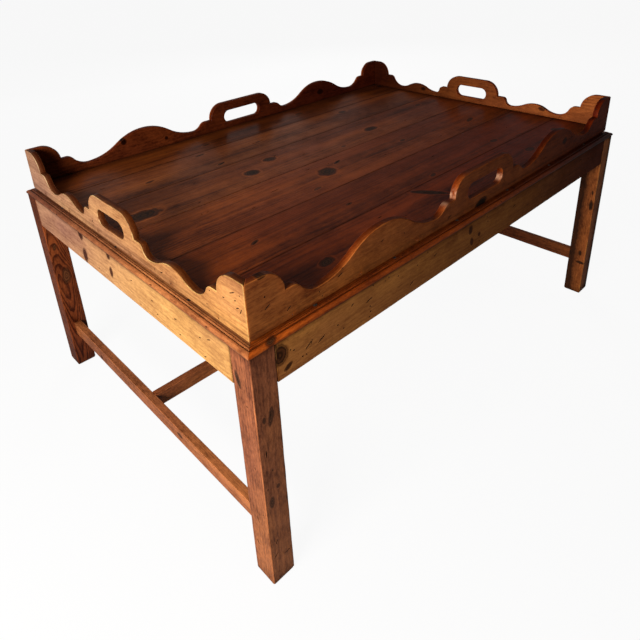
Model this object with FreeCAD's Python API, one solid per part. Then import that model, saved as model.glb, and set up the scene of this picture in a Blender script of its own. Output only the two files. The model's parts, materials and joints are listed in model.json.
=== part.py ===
import FreeCAD, Part
import math
import os

# Tray-top coffee table: a pine stand with a moulded rim, and a lift-off tray with a scalloped gallery.
# Millimetres. +Z up, +X along the long side, origin on the floor under the middle of the table.
# "In" distances run inwards from the outer faces of the legs, which the aprons share.

# Stand
table_length = 1160.0
table_width = 800.0
stand_height = 457.0
leg_side = 44.0
foot_chamfer = 2.5

apron_depth = 66.0
apron_thickness = 22.0
apron_tenon_thickness = 8.0
apron_tenon_setback = 7.0
apron_tenon_length = 24.0
apron_tenon_top_shoulder = 11.0
apron_tenon_bottom_shoulder = 7.0

stretcher_thickness = 16.0
stretcher_depth = 31.0
stretcher_bottom_height = 90.0
stretcher_tenon_thickness = 8.0
stretcher_tenon_length = 18.0
stretcher_tenon_shoulder = 4.5
centre_tenon_length = 9.0

bearer_width = 24.0
bearer_depth = 44.0
bearer_tenon_thickness = 10.0
bearer_tenon_length = 11.0
bearer_tenon_shoulder = 7.0

# Moulded rim: a rounded outer face, a quirk, a bead and a flat ledge that carries the tray
rim_thickness = 9.0
rim_width = 31.5
rim_overhang = 1.5
rim_edge_height = 2.2
rim_round_height = 6.8
rim_round_width = 7.4
quirk_width = 1.2
quirk_depth = 1.4
bead_width = 3.0
bead_rise = 1.4
rim_swell_shares = (0.2, 0.27)

# Tray
gallery_inset = 13.0
gallery_thickness = 13.0
gallery_ear_height = 78.0
gallery_drop = 11.0
gallery_skirt = 5.0
handle_height = 71.0
slot_height = 32.0
slot_sill = 15.0
ear_flat = 29.0
ear_step_height = 40.0
ear_step_width = 13.0
handle_step_height = 32.0
handle_step_width = 17.0
floor_thickness = 14.0
tongue_thickness = 4.0
tongue_length = 5.0
batten_width = 44.0
batten_clearance = 2.0

# Each pair of opposite gallery boards: half the flat of its handle, its slot, its scoops and its hump
end_handle_flat = 45.0
end_slot_length = 98.0
end_scoop_height = 11.0
end_hump_height = 28.0
side_handle_flat = 63.0
side_slot_length = 120.0
side_scoop_height = 15.0
side_hump_height = 60.0

# Places of inner scoop, hump and outer scoop, as shares of the way from the handle step to the ear step
end_scallop_shares = (0.125, 0.47, 0.775)
side_scallop_shares = (0.10, 0.475, 0.87)
scallop_turn_share = 0.5
handle_drop_share = 0.6
ear_rise_share = 0.7

# Widths of the floor boards from front to back, as shares of the floor's width
floor_board_shares = (0.163, 0.157, 0.183, 0.180, 0.164, 0.153)

# Fixings
rim_screw_length = 32.0
rim_screw_in = 16.0
side_rim_screws = 6
end_rim_screws = 3
batten_screw_length = 18.0
batten_screw_shares = (0.24, 0.76)
screw_shank = 3.6
screw_head = 7.6
screw_head_depth = 2.4
screw_slot_width = 1.0
screw_slot_depth = 0.8
brad_diameter = 1.8
brad_length = 24.0
brad_spacing = 125.0

# Fits
joint_fit = 0.2
tenon_end_gap = 1.0
drill_fit = 0.1
overrun = 5.0

# Heights and places that follow
half_length = table_length / 2
half_width = table_width / 2
apron_bottom = stand_height - apron_depth
stretcher_top_height = stretcher_bottom_height + stretcher_depth
rim_top = stand_height + rim_thickness
floor_top = rim_top + floor_thickness
gallery_bottom = floor_top - gallery_drop
ear_top = floor_top + gallery_ear_height
floor_inset = gallery_inset + gallery_skirt
floor_width = table_width - 2 * floor_inset
rim_inner = rim_width - rim_overhang
batten_length = table_width - 2 * (rim_inner + batten_clearance)
batten_thickness = rim_thickness
brad_height = (gallery_bottom + floor_top) / 2


def spanned(a, b):
    return min(a, b), abs(b - a)


def block(x, y, z):
    """A box from three pairs of limits, each in either order."""
    (x0, dx), (y0, dy), (z0, dz) = spanned(*x), spanned(*y), spanned(*z)
    return Part.makeBox(dx, dy, dz, FreeCAD.Vector(x0, y0, z0))


def corner_block(side_x, side_y, x_in, y_in, z):
    """A box at one corner of the table, from distances in from the outer faces."""
    x = [side_x * (half_length - d) for d in x_in]
    y = [side_y * (half_width - d) for d in y_in]
    return block(x, y, z)


def grown(limits, amount):
    return limits[0] - amount, limits[1] + amount


def centred(size):
    return -size / 2, size / 2


def cylinder(start, direction, radius, length):
    return Part.makeCylinder(radius, length, start, direction)


def prism(points, depth):
    """A flat outline in the XY plane at a height, extruded upwards."""
    face = Part.Face(Part.makePolygon(points + points[:1]))
    return face.extrude(FreeCAD.Vector(0, 0, depth))


def screw_body(head, direction, length, loose):
    """A countersunk screw, or with loose above zero the hole that it goes in."""
    shank = screw_shank / 2 + loose
    cone = Part.makeCone(screw_head / 2, shank, screw_head_depth, head, direction)
    return cone.fuse(cylinder(head, direction, shank, length + loose))


def screw(head, direction, length):
    body = screw_body(head, direction, length, 0.0)
    across = block(centred(screw_head + overrun), centred(screw_slot_width), (-overrun, screw_slot_depth))
    across.Placement = FreeCAD.Placement(head, FreeCAD.Rotation(FreeCAD.Vector(0, 0, 1), direction))
    return body.cut(across)


def drilled(shape, heads, direction, length):
    for head in heads:
        shape = shape.cut(screw_body(head, direction, length, drill_fit))
    return shape


def save(name, shape):
    shape.exportStep("parts/" + name + ".step")


# Places of the fixings

def evenly(count, span):
    """Middles of equal parts of a span centred on zero."""
    return [span * ((i + 0.5) / count - 0.5) for i in range(count)]


def rim_screw_heads(along_x, side):
    if along_x:
        y = side * (half_width - rim_screw_in)
        return [FreeCAD.Vector(x, y, rim_top) for x in evenly(side_rim_screws, table_length - 2 * leg_side)]
    x = side * (half_length - rim_screw_in)
    return [FreeCAD.Vector(x, y, rim_top) for y in evenly(end_rim_screws, table_width - 2 * leg_side)]


def board_limits():
    """Front and back limits of each floor board."""
    edges = [-floor_width / 2]
    for share in floor_board_shares:
        edges.append(edges[-1] + share * floor_width / sum(floor_board_shares))
    return list(zip(edges[:-1], edges[1:]))


def batten_places():
    reach = half_length - rim_inner - batten_clearance - batten_width / 2
    return {"left": -reach, "middle": 0.0, "right": reach}


def batten_screw_heads(x):
    heads = []
    for front, back in board_limits():
        for share in batten_screw_shares:
            y = front + share * (back - front)
            heads.append(FreeCAD.Vector(x, y, rim_top - batten_thickness))
    return heads


def brad_heads(along_x):
    """Heads of one gallery board's brads, for the board on the positive side."""
    inset = gallery_inset
    reach = half_length if along_x else half_width
    span = 2 * (reach - floor_inset)
    count = max(2, int(span / brad_spacing))
    if along_x:
        return [FreeCAD.Vector(u, half_width - inset, brad_height) for u in evenly(count, span)]
    return [FreeCAD.Vector(half_length - inset, u, brad_height) for u in evenly(count, span)]


# Stand

def apron_tenon_heights(fit):
    low = apron_bottom + apron_tenon_bottom_shoulder
    return grown((low, stand_height - apron_tenon_top_shoulder), fit)


def apron_tenon_across(fit):
    return grown((apron_tenon_setback, apron_tenon_setback + apron_tenon_thickness), fit)


def stretcher_across():
    start = (leg_side - stretcher_thickness) / 2
    return start, start + stretcher_thickness


def stretcher_tenon_across(fit):
    start = (leg_side - stretcher_tenon_thickness) / 2
    return grown((start, start + stretcher_tenon_thickness), fit)


def stretcher_tenon_heights(fit):
    low = stretcher_bottom_height + stretcher_tenon_shoulder
    return grown((low, stretcher_top_height - stretcher_tenon_shoulder), fit)


def leg(side_x, side_y):
    post = corner_block(side_x, side_y, (0, leg_side), (0, leg_side), (0, stand_height))
    foot = [edge for edge in post.Edges if edge.BoundBox.ZMax < foot_chamfer]
    post = post.makeChamfer(foot_chamfer, foot)
    deep = (leg_side - apron_tenon_length - tenon_end_gap, leg_side + overrun)
    across = apron_tenon_across(joint_fit)
    heights = apron_tenon_heights(joint_fit)
    post = post.cut(corner_block(side_x, side_y, deep, across, heights))
    post = post.cut(corner_block(side_x, side_y, across, deep, heights))
    deep = (leg_side - stretcher_tenon_length - tenon_end_gap, leg_side + overrun)
    across = stretcher_tenon_across(joint_fit)
    return post.cut(corner_block(side_x, side_y, across, deep, stretcher_tenon_heights(joint_fit)))


def side_apron(side):
    """A long apron, with a tenon at each end and a mortise for the cross bearer."""
    y = [side * (half_width - d) for d in (0, apron_thickness)]
    board = block(centred(table_length - 2 * leg_side), y, (apron_bottom, stand_height))
    for end in (-1, 1):
        along = (leg_side - apron_tenon_length, leg_side + overrun)
        board = board.fuse(corner_block(end, side, along, apron_tenon_across(0), apron_tenon_heights(0)))
    deep = [side * (half_width - d) for d in (apron_thickness - bearer_tenon_length - tenon_end_gap,
                                              apron_thickness + overrun)]
    mortise = block(grown(centred(bearer_tenon_thickness), joint_fit), deep,
                    grown(bearer_tenon_heights(), joint_fit))
    board = board.cut(mortise).removeSplitter()
    return drilled(board, rim_screw_heads(True, side), FreeCAD.Vector(0, 0, -1), rim_screw_length)


def end_apron(side):
    x = [side * (half_length - d) for d in (0, apron_thickness)]
    board = block(x, centred(table_width - 2 * leg_side), (apron_bottom, stand_height))
    for end in (-1, 1):
        along = (leg_side - apron_tenon_length, leg_side + overrun)
        board = board.fuse(corner_block(side, end, apron_tenon_across(0), along, apron_tenon_heights(0)))
    board = board.removeSplitter()
    return drilled(board, rim_screw_heads(False, side), FreeCAD.Vector(0, 0, -1), rim_screw_length)


def end_stretcher(side):
    """A low rail between two legs, with a mortise in its inner face for the centre stretcher."""
    across = stretcher_across()
    x = [side * (half_length - d) for d in across]
    rail = block(x, centred(table_width - 2 * leg_side), (stretcher_bottom_height, stretcher_top_height))
    for end in (-1, 1):
        along = (leg_side - stretcher_tenon_length, leg_side + overrun)
        rail = rail.fuse(corner_block(side, end, stretcher_tenon_across(0), along, stretcher_tenon_heights(0)))
    deep = [side * (half_length - d) for d in (across[1] - centre_tenon_length - tenon_end_gap,
                                               across[1] + overrun)]
    mortise = block(deep, grown(centred(stretcher_tenon_thickness), joint_fit), stretcher_tenon_heights(joint_fit))
    return rail.cut(mortise).removeSplitter()


def centre_stretcher():
    shoulder = half_length - stretcher_across()[1]
    heights = (stretcher_bottom_height, stretcher_top_height)
    rail = block((-shoulder, shoulder), centred(stretcher_thickness), heights)
    tenons = block(grown((-shoulder, shoulder), centre_tenon_length), centred(stretcher_tenon_thickness),
                   stretcher_tenon_heights(0))
    return rail.fuse(tenons).removeSplitter()


def bearer_tenon_heights():
    return stand_height - bearer_depth + bearer_tenon_shoulder, stand_height - bearer_tenon_shoulder


def cross_bearer():
    reach = half_width - apron_thickness
    beam = block(centred(bearer_width), (-reach, reach), (stand_height - bearer_depth, stand_height))
    tenons = block(centred(bearer_tenon_thickness), grown((-reach, reach), bearer_tenon_length),
                   bearer_tenon_heights())
    beam = beam.fuse(tenons).removeSplitter()
    for side in (-1, 1):
        beam = drilled(beam, rim_screw_heads(True, side), FreeCAD.Vector(0, 0, -1), rim_screw_length)
    return beam


def rim_section():
    """Section of the moulded rim as a face: X is the distance in, Z the height."""
    step = stand_height + rim_round_height
    round_end = rim_round_width - rim_overhang
    quirk_end = round_end + quirk_width
    bead_end = quirk_end + bead_width
    bead_base = rim_top - bead_rise

    def at(x, z):
        return FreeCAD.Vector(x, 0, z)

    corner = at(-rim_overhang, stand_height + rim_edge_height)
    shoulder = at(round_end, step)
    rise = shoulder.z - corner.z
    out, up = [share * rise for share in rim_swell_shares]
    round_middle = at((corner.x + shoulder.x) / 2 - out, (corner.z + shoulder.z) / 2 + up)
    bead_middle = at((quirk_end + bead_end) / 2, rim_top)
    edges = [
        Part.LineSegment(at(rim_inner, stand_height), at(-rim_overhang, stand_height)).toShape(),
        Part.LineSegment(at(-rim_overhang, stand_height), corner).toShape(),
        Part.Arc(corner, round_middle, shoulder).toShape(),
        Part.LineSegment(shoulder, at(round_end, step - quirk_depth)).toShape(),
        Part.LineSegment(at(round_end, step - quirk_depth), at(quirk_end, step - quirk_depth)).toShape(),
        Part.LineSegment(at(quirk_end, step - quirk_depth), at(quirk_end, bead_base)).toShape(),
        Part.Arc(at(quirk_end, bead_base), bead_middle, at(bead_end, bead_base)).toShape(),
        Part.LineSegment(at(bead_end, bead_base), at(bead_end, rim_top)).toShape(),
        Part.LineSegment(at(bead_end, rim_top), at(rim_inner, rim_top)).toShape(),
        Part.LineSegment(at(rim_inner, rim_top), at(rim_inner, stand_height)).toShape(),
    ]
    return Part.Face(Part.Wire(edges))


def mitre_wedge(reach, outer, inner, z):
    """What a mitred bar keeps: a trapezium in plan, wide at the outer face, for the bar at negative Y."""
    points = [
        FreeCAD.Vector(-reach, -outer, z[0]),
        FreeCAD.Vector(reach, -outer, z[0]),
        FreeCAD.Vector(reach - (outer - inner), -inner, z[0]),
        FreeCAD.Vector(-reach + (outer - inner), -inner, z[0]),
    ]
    return prism(points, z[1] - z[0])


def rim_bar(reach, outer):
    """A moulded rail along X at negative Y, mitred at both ends."""
    section = rim_section()
    section.Placement = FreeCAD.Placement(
        FreeCAD.Vector(-reach, -outer, 0), FreeCAD.Rotation(FreeCAD.Vector(0, 0, 1), 90))
    bar = section.extrude(FreeCAD.Vector(2 * reach, 0, 0))
    wedge = mitre_wedge(reach, outer + rim_overhang, outer - rim_inner, (stand_height, rim_top))
    return bar.common(wedge)


def turned(shape, along_x, side):
    """Turn a bar made along X at negative Y to its own side of the table."""
    quarter_turns = {(True, -1): 0, (True, 1): 2, (False, -1): -1, (False, 1): 1}[(along_x, side)]
    shape.rotate(FreeCAD.Vector(0, 0, 0), FreeCAD.Vector(0, 0, 1), quarter_turns * 90)
    return shape


def rim_rail(along_x, side):
    reach, outer = (half_length, half_width) if along_x else (half_width, half_length)
    rail = turned(rim_bar(reach + rim_overhang, outer), along_x, side)
    return drilled(rail, rim_screw_heads(along_x, side), FreeCAD.Vector(0, 0, -1), rim_screw_length)


# Tray

def floor_board(index):
    """One lengthwise board: a groove in its front edge and a tongue on its back edge, but for the outer edges."""
    front, back = board_limits()[index]
    x = centred(table_length - 2 * floor_inset)
    board = block(x, (front, back), (rim_top, floor_top))
    middle = (rim_top + floor_top) / 2
    tongue = (middle - tongue_thickness / 2, middle + tongue_thickness / 2)
    if index < len(floor_board_shares) - 1:
        board = board.fuse(block(x, (back, back + tongue_length), tongue)).removeSplitter()
    if index > 0:
        deep = (front - overrun, front + tongue_length + joint_fit)
        board = board.cut(block(grown(x, overrun), deep, grown(tongue, joint_fit)))
    board = drill_from_battens(board, front, back)
    return drill_from_gallery(board)


def drill_from_battens(board, front, back):
    for x in batten_places().values():
        heads = [head for head in batten_screw_heads(x) if front < head.y < back]
        board = drilled(board, heads, FreeCAD.Vector(0, 0, 1), batten_screw_length)
    return board


def brad_places():
    """Head and direction of every brad, on all four sides."""
    places = []
    for side in (-1, 1):
        for head in brad_heads(True):
            places.append((FreeCAD.Vector(head.x, side * head.y, head.z), FreeCAD.Vector(0, -side, 0)))
        for head in brad_heads(False):
            places.append((FreeCAD.Vector(side * head.x, head.y, head.z), FreeCAD.Vector(-side, 0, 0)))
    return places


def drill_from_gallery(shape):
    """Cut the holes of the brads that reach a shape."""
    for head, direction in brad_places():
        hole = cylinder(head, direction, brad_diameter / 2 + drill_fit, brad_length + drill_fit)
        if hole.BoundBox.intersect(shape.BoundBox):
            shape = shape.cut(hole)
    return shape


def s_curve(low, high, share):
    """Two arcs, level at both ends, that meet at a share of the way from low to high."""
    run = high[0] - low[0]
    rise = high[1] - low[1]
    radius = (run * run + rise * rise) / (2 * abs(rise))
    meet = (low[0] + share * run, low[1] + share * rise)
    turn = 2 * math.atan2(abs(rise), abs(run))
    hand = math.copysign(1.0, run)

    def on_low(angle):
        r = share * radius
        return (low[0] + hand * r * math.sin(angle), low[1] + r * (1 - math.cos(angle)))

    def on_high(angle):
        r = (1 - share) * radius
        return (high[0] - hand * r * math.sin(angle), high[1] - r * (1 - math.cos(angle)))

    rising = [(low, on_low(turn / 2), meet), (meet, on_high(turn / 2), high)]
    return rising


def reversed_run(segments):
    return [tuple(reversed(segment)) for segment in reversed(segments)]


def quarter_round(centre, radius, start, end):
    """An arc about a centre, from one angle to another in quarter turns."""
    points = []
    for share in (start, (start + end) / 2, end):
        angle = share * math.pi / 2
        points.append((centre[0] + radius * math.cos(angle), centre[1] + radius * math.sin(angle)))
    return tuple(points)


def scallop_half(reach, handle_flat, scoop_height, hump_height, shares):
    """Upper outline of a gallery board from its middle to its end, as lines and arcs in length and height."""
    ear_radius = gallery_ear_height - ear_step_height
    shoulder_radius = handle_height - handle_step_height
    handle_foot = handle_flat + shoulder_radius
    handle_step_end = handle_foot + handle_step_width
    ear_foot = reach - ear_flat - ear_radius
    ear_step_start = ear_foot - ear_step_width
    run = ear_step_start - handle_step_end
    inner_scoop, hump, outer_scoop = [handle_step_end + share * run for share in shares]

    low_inner = (inner_scoop, floor_top + scoop_height)
    peak = (hump, floor_top + hump_height)
    low_outer = (outer_scoop, floor_top + scoop_height)
    handle_step = (handle_step_end, floor_top + handle_step_height)
    ear_step = (ear_step_start, floor_top + ear_step_height)

    shoulder = quarter_round((handle_flat, handle_step[1]), shoulder_radius, 1, 0)
    ear = quarter_round((ear_foot + ear_radius, ear_step[1]), ear_radius, 2, 1)
    segments = [((0, floor_top + handle_height), shoulder[0]), shoulder, (shoulder[2], handle_step)]
    segments += reversed_run(s_curve(low_inner, handle_step, handle_drop_share))
    segments += s_curve(low_inner, peak, scallop_turn_share)
    segments += reversed_run(s_curve(low_outer, peak, scallop_turn_share))
    segments += s_curve(low_outer, ear_step, ear_rise_share)
    segments += [(ear_step, ear[0]), ear, (ear[2], (reach, ear_top))]
    return segments


def edge_of(points, y):
    vectors = [FreeCAD.Vector(u, y, z) for u, z in points]
    if len(vectors) == 2:
        return Part.LineSegment(*vectors).toShape()
    return Part.Arc(*vectors).toShape()


def slot_cutter(length, y, depth):
    """A handhold with round ends, through the board."""
    radius = slot_height / 2
    middle = floor_top + slot_sill + radius
    straight = length / 2 - radius
    bar = block((-straight, straight), (y, y + depth), grown((middle, middle), radius))
    for end in (-1, 1):
        bar = bar.fuse(cylinder(FreeCAD.Vector(end * straight, y, middle), FreeCAD.Vector(0, 1, 0), radius, depth))
    return bar


def gallery_board(along_x, side):
    """A scalloped board: mitred ends, a slotted handhold, and a rebate over the edge of the floor boards."""
    table_reach, table_outer = (half_length, half_width) if along_x else (half_width, half_length)
    if along_x:
        sizes = (side_handle_flat, side_scoop_height, side_hump_height, side_scallop_shares)
        slot_length = side_slot_length
    else:
        sizes = (end_handle_flat, end_scoop_height, end_hump_height, end_scallop_shares)
        slot_length = end_slot_length
    reach = table_reach - gallery_inset
    outer = table_outer - gallery_inset
    right_half = scallop_half(reach, *sizes)
    left_half = [tuple((-u, z) for u, z in segment) for segment in reversed_run(right_half)]
    bottom = [
        ((reach, ear_top), (reach, gallery_bottom)),
        ((reach, gallery_bottom), (-reach, gallery_bottom)),
        ((-reach, gallery_bottom), (-reach, ear_top)),
    ]
    wire = Part.Wire([edge_of(points, -outer) for points in left_half + right_half + bottom])
    board = Part.Face(wire).extrude(FreeCAD.Vector(0, gallery_thickness, 0))
    wedge = mitre_wedge(reach, outer, outer - gallery_thickness, (gallery_bottom, ear_top))
    board = board.common(wedge)
    board = board.cut(slot_cutter(slot_length, -outer - overrun, gallery_thickness + 2 * overrun))
    inner = outer - gallery_skirt
    rebate = block((-table_reach, table_reach), (-inner, -inner + gallery_thickness),
                   (gallery_bottom - overrun, floor_top))
    board = board.cut(rebate)
    return drill_from_gallery(turned(board, along_x, side))


def batten(x):
    bar = block(grown((x, x), batten_width / 2), centred(batten_length), (rim_top - batten_thickness, rim_top))
    return drilled(bar, batten_screw_heads(x), FreeCAD.Vector(0, 0, 1), batten_screw_length)


# Groups of like fixings

def rim_screws():
    screws = []
    for along_x in (True, False):
        for side in (-1, 1):
            for head in rim_screw_heads(along_x, side):
                screws.append(screw(head, FreeCAD.Vector(0, 0, -1), rim_screw_length))
    return Part.makeCompound(screws)


def batten_screws():
    screws = []
    for x in batten_places().values():
        for head in batten_screw_heads(x):
            screws.append(screw(head, FreeCAD.Vector(0, 0, 1), batten_screw_length))
    return Part.makeCompound(screws)


def gallery_brads():
    brads = []
    for head, direction in brad_places():
        brads.append(cylinder(head, direction, brad_diameter / 2, brad_length))
    return Part.makeCompound(brads)


def make_stand():
    fronts = {"front": -1, "back": 1}
    ends = {"left": -1, "right": 1}
    for front_name, side_y in fronts.items():
        save("apron_" + front_name, side_apron(side_y))
        save("rim_" + front_name, rim_rail(True, side_y))
        for end_name, side_x in ends.items():
            save("leg_" + front_name + "_" + end_name, leg(side_x, side_y))
    for end_name, side_x in ends.items():
        save("apron_" + end_name, end_apron(side_x))
        save("rim_" + end_name, rim_rail(False, side_x))
        save("stretcher_" + end_name, end_stretcher(side_x))
    save("stretcher_centre", centre_stretcher())
    save("cross_bearer", cross_bearer())
    save("rim_screws", rim_screws())


def make_tray():
    for index in range(len(floor_board_shares)):
        save("floor_board_" + str(index + 1), floor_board(index))
    for front_name, side in {"front": -1, "back": 1}.items():
        save("gallery_" + front_name, gallery_board(True, side))
    for end_name, side in {"left": -1, "right": 1}.items():
        save("gallery_" + end_name, gallery_board(False, side))
    for name, x in batten_places().items():
        save("batten_" + name, batten(x))
    save("batten_screws", batten_screws())
    save("gallery_brads", gallery_brads())


os.makedirs("parts", exist_ok=True)
make_stand()
make_tray()
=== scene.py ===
import json
import math
from dataclasses import dataclass

import bmesh
import bpy
from mathutils import Euler, Matrix, Vector, noise


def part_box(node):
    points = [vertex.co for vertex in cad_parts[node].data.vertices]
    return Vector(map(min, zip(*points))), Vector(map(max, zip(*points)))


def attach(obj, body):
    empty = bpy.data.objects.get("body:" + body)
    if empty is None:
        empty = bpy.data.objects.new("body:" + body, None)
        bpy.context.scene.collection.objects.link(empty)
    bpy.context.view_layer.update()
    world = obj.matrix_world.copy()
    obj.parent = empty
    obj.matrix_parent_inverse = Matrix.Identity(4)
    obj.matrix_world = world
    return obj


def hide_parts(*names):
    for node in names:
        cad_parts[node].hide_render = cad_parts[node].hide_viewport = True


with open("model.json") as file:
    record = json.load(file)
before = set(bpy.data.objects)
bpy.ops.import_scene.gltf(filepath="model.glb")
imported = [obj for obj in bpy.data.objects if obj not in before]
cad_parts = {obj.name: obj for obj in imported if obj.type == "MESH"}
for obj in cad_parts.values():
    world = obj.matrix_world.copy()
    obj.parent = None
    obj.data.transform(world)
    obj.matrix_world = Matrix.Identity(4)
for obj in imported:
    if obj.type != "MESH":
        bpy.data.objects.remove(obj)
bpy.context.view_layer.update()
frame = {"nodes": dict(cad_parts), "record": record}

bl_info = {
    "name": "Tray-top coffee table",
    "version": (1, 0, 0),
    "blender": (4, 5, 0),
    "location": "3D View > Sidebar > Tray Table",
    "description": "Finishes the boards and fixings of an old pine tray-top coffee table",
    "category": "Object",
}

# Metres, in the frame of the imported model: +Z up, +X along the long side, the floor at zero.
# The tables of knots, marks, dirt, painted shade and painted highlights are in millimetres, because a joiner
# measures boards in them.
MM = 0.001

AXES = "XYZ"
# Points nearer than this become one, and so do faces that meet at less than this
MERGE = 1e-6
FLAT = math.radians(0.5)
# Edges sharper than these are softened, and stay creased in the shading
SHARP = math.radians(30)
CREASE = math.radians(38)
# Scattered marks and screws are turned at random by up to this, in radians
MOST_TURN = 3.14
WHITE = (1.0, 1.0, 1.0)


# Settings that a user would change

def length(name, description, millimetres):
    return bpy.props.FloatProperty(
        name=name, description=description, default=millimetres * MM, min=0.0, unit="LENGTH", precision=4)


def share(name, description, default):
    return bpy.props.FloatProperty(
        name=name, description=description, default=default, min=0.0, max=1.0, subtype="FACTOR")


def power(name, description, watts):
    return bpy.props.FloatProperty(name=name, description=description, default=watts, min=0.0, unit="POWER")


def colour(name, description, default):
    return bpy.props.FloatVectorProperty(
        name=name, description=description, default=default, min=0.0, max=1.0, size=3, subtype="COLOR")


def finish_group(label, pale, dark, rings, streaks, mottle, gloss, roughness):
    """A property group for one finish of the pine, with its own defaults."""
    fields = {
        "pale": colour("Pale", "Colour of the early wood", pale),
        "dark": colour("Dark", "Colour of the late wood and the stain", dark),
        "rings": share("Rings", "How strongly the growth rings show", rings),
        "streaks": share("Streaks", "How strongly the long streaks show", streaks),
        "mottle": share("Mottle", "How strongly the stain is mottled", mottle),
        "gloss": share("Gloss", "Weight of the waxed coat", gloss),
        "roughness": share("Roughness", "Roughness under the wax", roughness),
    }
    return type(label + "Finish", (bpy.types.PropertyGroup,), {"__annotations__": fields})


FINISHES = {
    "leg": finish_group(
        "Leg", pale=(0.47, 0.155, 0.056), dark=(0.090, 0.022, 0.008),
        rings=0.12, streaks=0.34, mottle=0.85, gloss=0.10, roughness=0.46),
    "apron": finish_group(
        "Apron", pale=(0.70, 0.375, 0.120), dark=(0.25, 0.100, 0.034),
        rings=0.12, streaks=0.34, mottle=0.60, gloss=0.0, roughness=0.50),
    "rim": finish_group(
        "Rim", pale=(0.80, 0.270, 0.064), dark=(0.150, 0.030, 0.007),
        rings=0.12, streaks=0.45, mottle=0.70, gloss=0.20, roughness=0.30),
    "stretcher": finish_group(
        "Stretcher", pale=(0.54, 0.180, 0.060), dark=(0.110, 0.030, 0.010),
        rings=0.12, streaks=0.40, mottle=0.85, gloss=0.10, roughness=0.46),
    "tray_floor": finish_group(
        "TrayFloor", pale=(0.330, 0.078, 0.014), dark=(0.060, 0.012, 0.0028),
        rings=0.16, streaks=0.62, mottle=0.50, gloss=0.11, roughness=0.36),
    "gallery": finish_group(
        "Gallery", pale=(0.66, 0.300, 0.092), dark=(0.19, 0.060, 0.018),
        rings=0.12, streaks=0.32, mottle=0.70, gloss=0.04, roughness=0.46),
    "hidden": finish_group(
        "Hidden", pale=(0.46, 0.26, 0.120), dark=(0.22, 0.105, 0.042),
        rings=0.40, streaks=0.50, mottle=0.50, gloss=0.0, roughness=0.66),
}


class WearSettings(bpy.types.PropertyGroup):
    """How old the boards look."""
    arris: length("Arris", "Width of a softened edge", 0.9)
    leg_arris: length("Leg arris", "Width of a softened edge of a leg", 2.0)
    gallery_arris: length("Gallery arris", "Width of a softened edge of the gallery", 1.6)
    moulding_arris: length("Moulding arris", "Width of a softened edge of the moulded rim", 0.3)
    grid: length("Grid", "Spacing of the points that wear moves", 17.0)
    hollow: length("Hollow", "How deep the faces are worn", 0.28)
    bruise: length("Bruise", "How deep the arrises are worn", 0.7)
    mark_length: length("Mark length", "Length of the longest scattered mark", 6.0)
    mark_width: length("Mark width", "Width of the widest scattered mark", 2.0)
    mark_depth: length("Mark depth", "Depth of the deepest scattered mark", 1.6)


class FixingSettings(bpy.types.PropertyGroup):
    """Sizes of the screws and brads."""
    head_diameter: length("Head diameter", "Across a screw's countersunk head", 7.6)
    head_depth: length("Head depth", "Depth of a screw's countersunk head", 2.4)
    shank_diameter: length("Shank diameter", "Across a screw's shank", 3.4)
    thread_rise: length("Thread rise", "How far the thread stands out", 0.35)
    slot_width: length("Slot width", "Width of a screw's slot", 1.0)
    slot_depth: length("Slot depth", "Depth of a screw's slot", 0.9)
    brad_diameter: length("Brad diameter", "Across a brad", 1.7)


class StageSettings(bpy.types.PropertyGroup):
    """The floor, the lamps and the camera."""
    ground: colour("Ground", "Colour of the floor to the light that falls on it", (0.36, 0.36, 0.36))
    ambient: share("Ambient", "Strength of the light from all around", 0.055)
    window: power("Window", "Power of the soft lamp at the left", 34.0)
    fill: power("Fill", "Power of the wide lamp behind", 34.0)
    backlight: power("Backlight", "Power of the low lamp behind, for the sheen", 3.0)
    lens: bpy.props.FloatProperty(
        name="Lens", description="Focal length in millimetres", default=32.39, min=1.0)
    rise: bpy.props.FloatProperty(
        name="Rise", description="Upward shift of the frame, as a share of its width", default=-0.2031)


class TableSettings(bpy.types.PropertyGroup):
    """Everything that can be set about the table."""
    __annotations__ = {
        **{name: bpy.props.PointerProperty(type=group, name=name) for name, group in FINISHES.items()},
        "wear": bpy.props.PointerProperty(type=WearSettings, name="Wear"),
        "fixings": bpy.props.PointerProperty(type=FixingSettings, name="Fixings"),
        "stage": bpy.props.PointerProperty(type=StageSettings, name="Stage"),
    }


# What each board is like

@dataclass
class Knot:
    """A knot that runs through a board: its middle along and across the grain, its size, and how dead it is.

    With an axis, its second place is measured along that one instead of across the board.
    """
    along: float
    across: float
    length: float
    width: float
    turn: float = 0.0
    dark: float = 0.8
    axis: str = ""


@dataclass
class Mark:
    """A worm hole, split or bruise in one side of a board."""
    side: str
    u: float
    v: float
    length: float
    width: float
    turn: float = 0.0
    depth: float = 1.8


@dataclass
class Plane:
    """Two planes, so far either side of the middle, where a dark band of dirt and painted shade, or a pale
    band of painted highlight, is strongest, and its reach.
    """
    axis: str
    place: float
    reach: float
    amount: float


@dataclass
class Glint:
    """A painted glint: a pale spot on a cut edge of a handle, where its worn wax catches the light."""
    along: float
    across: float
    reach: float


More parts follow.
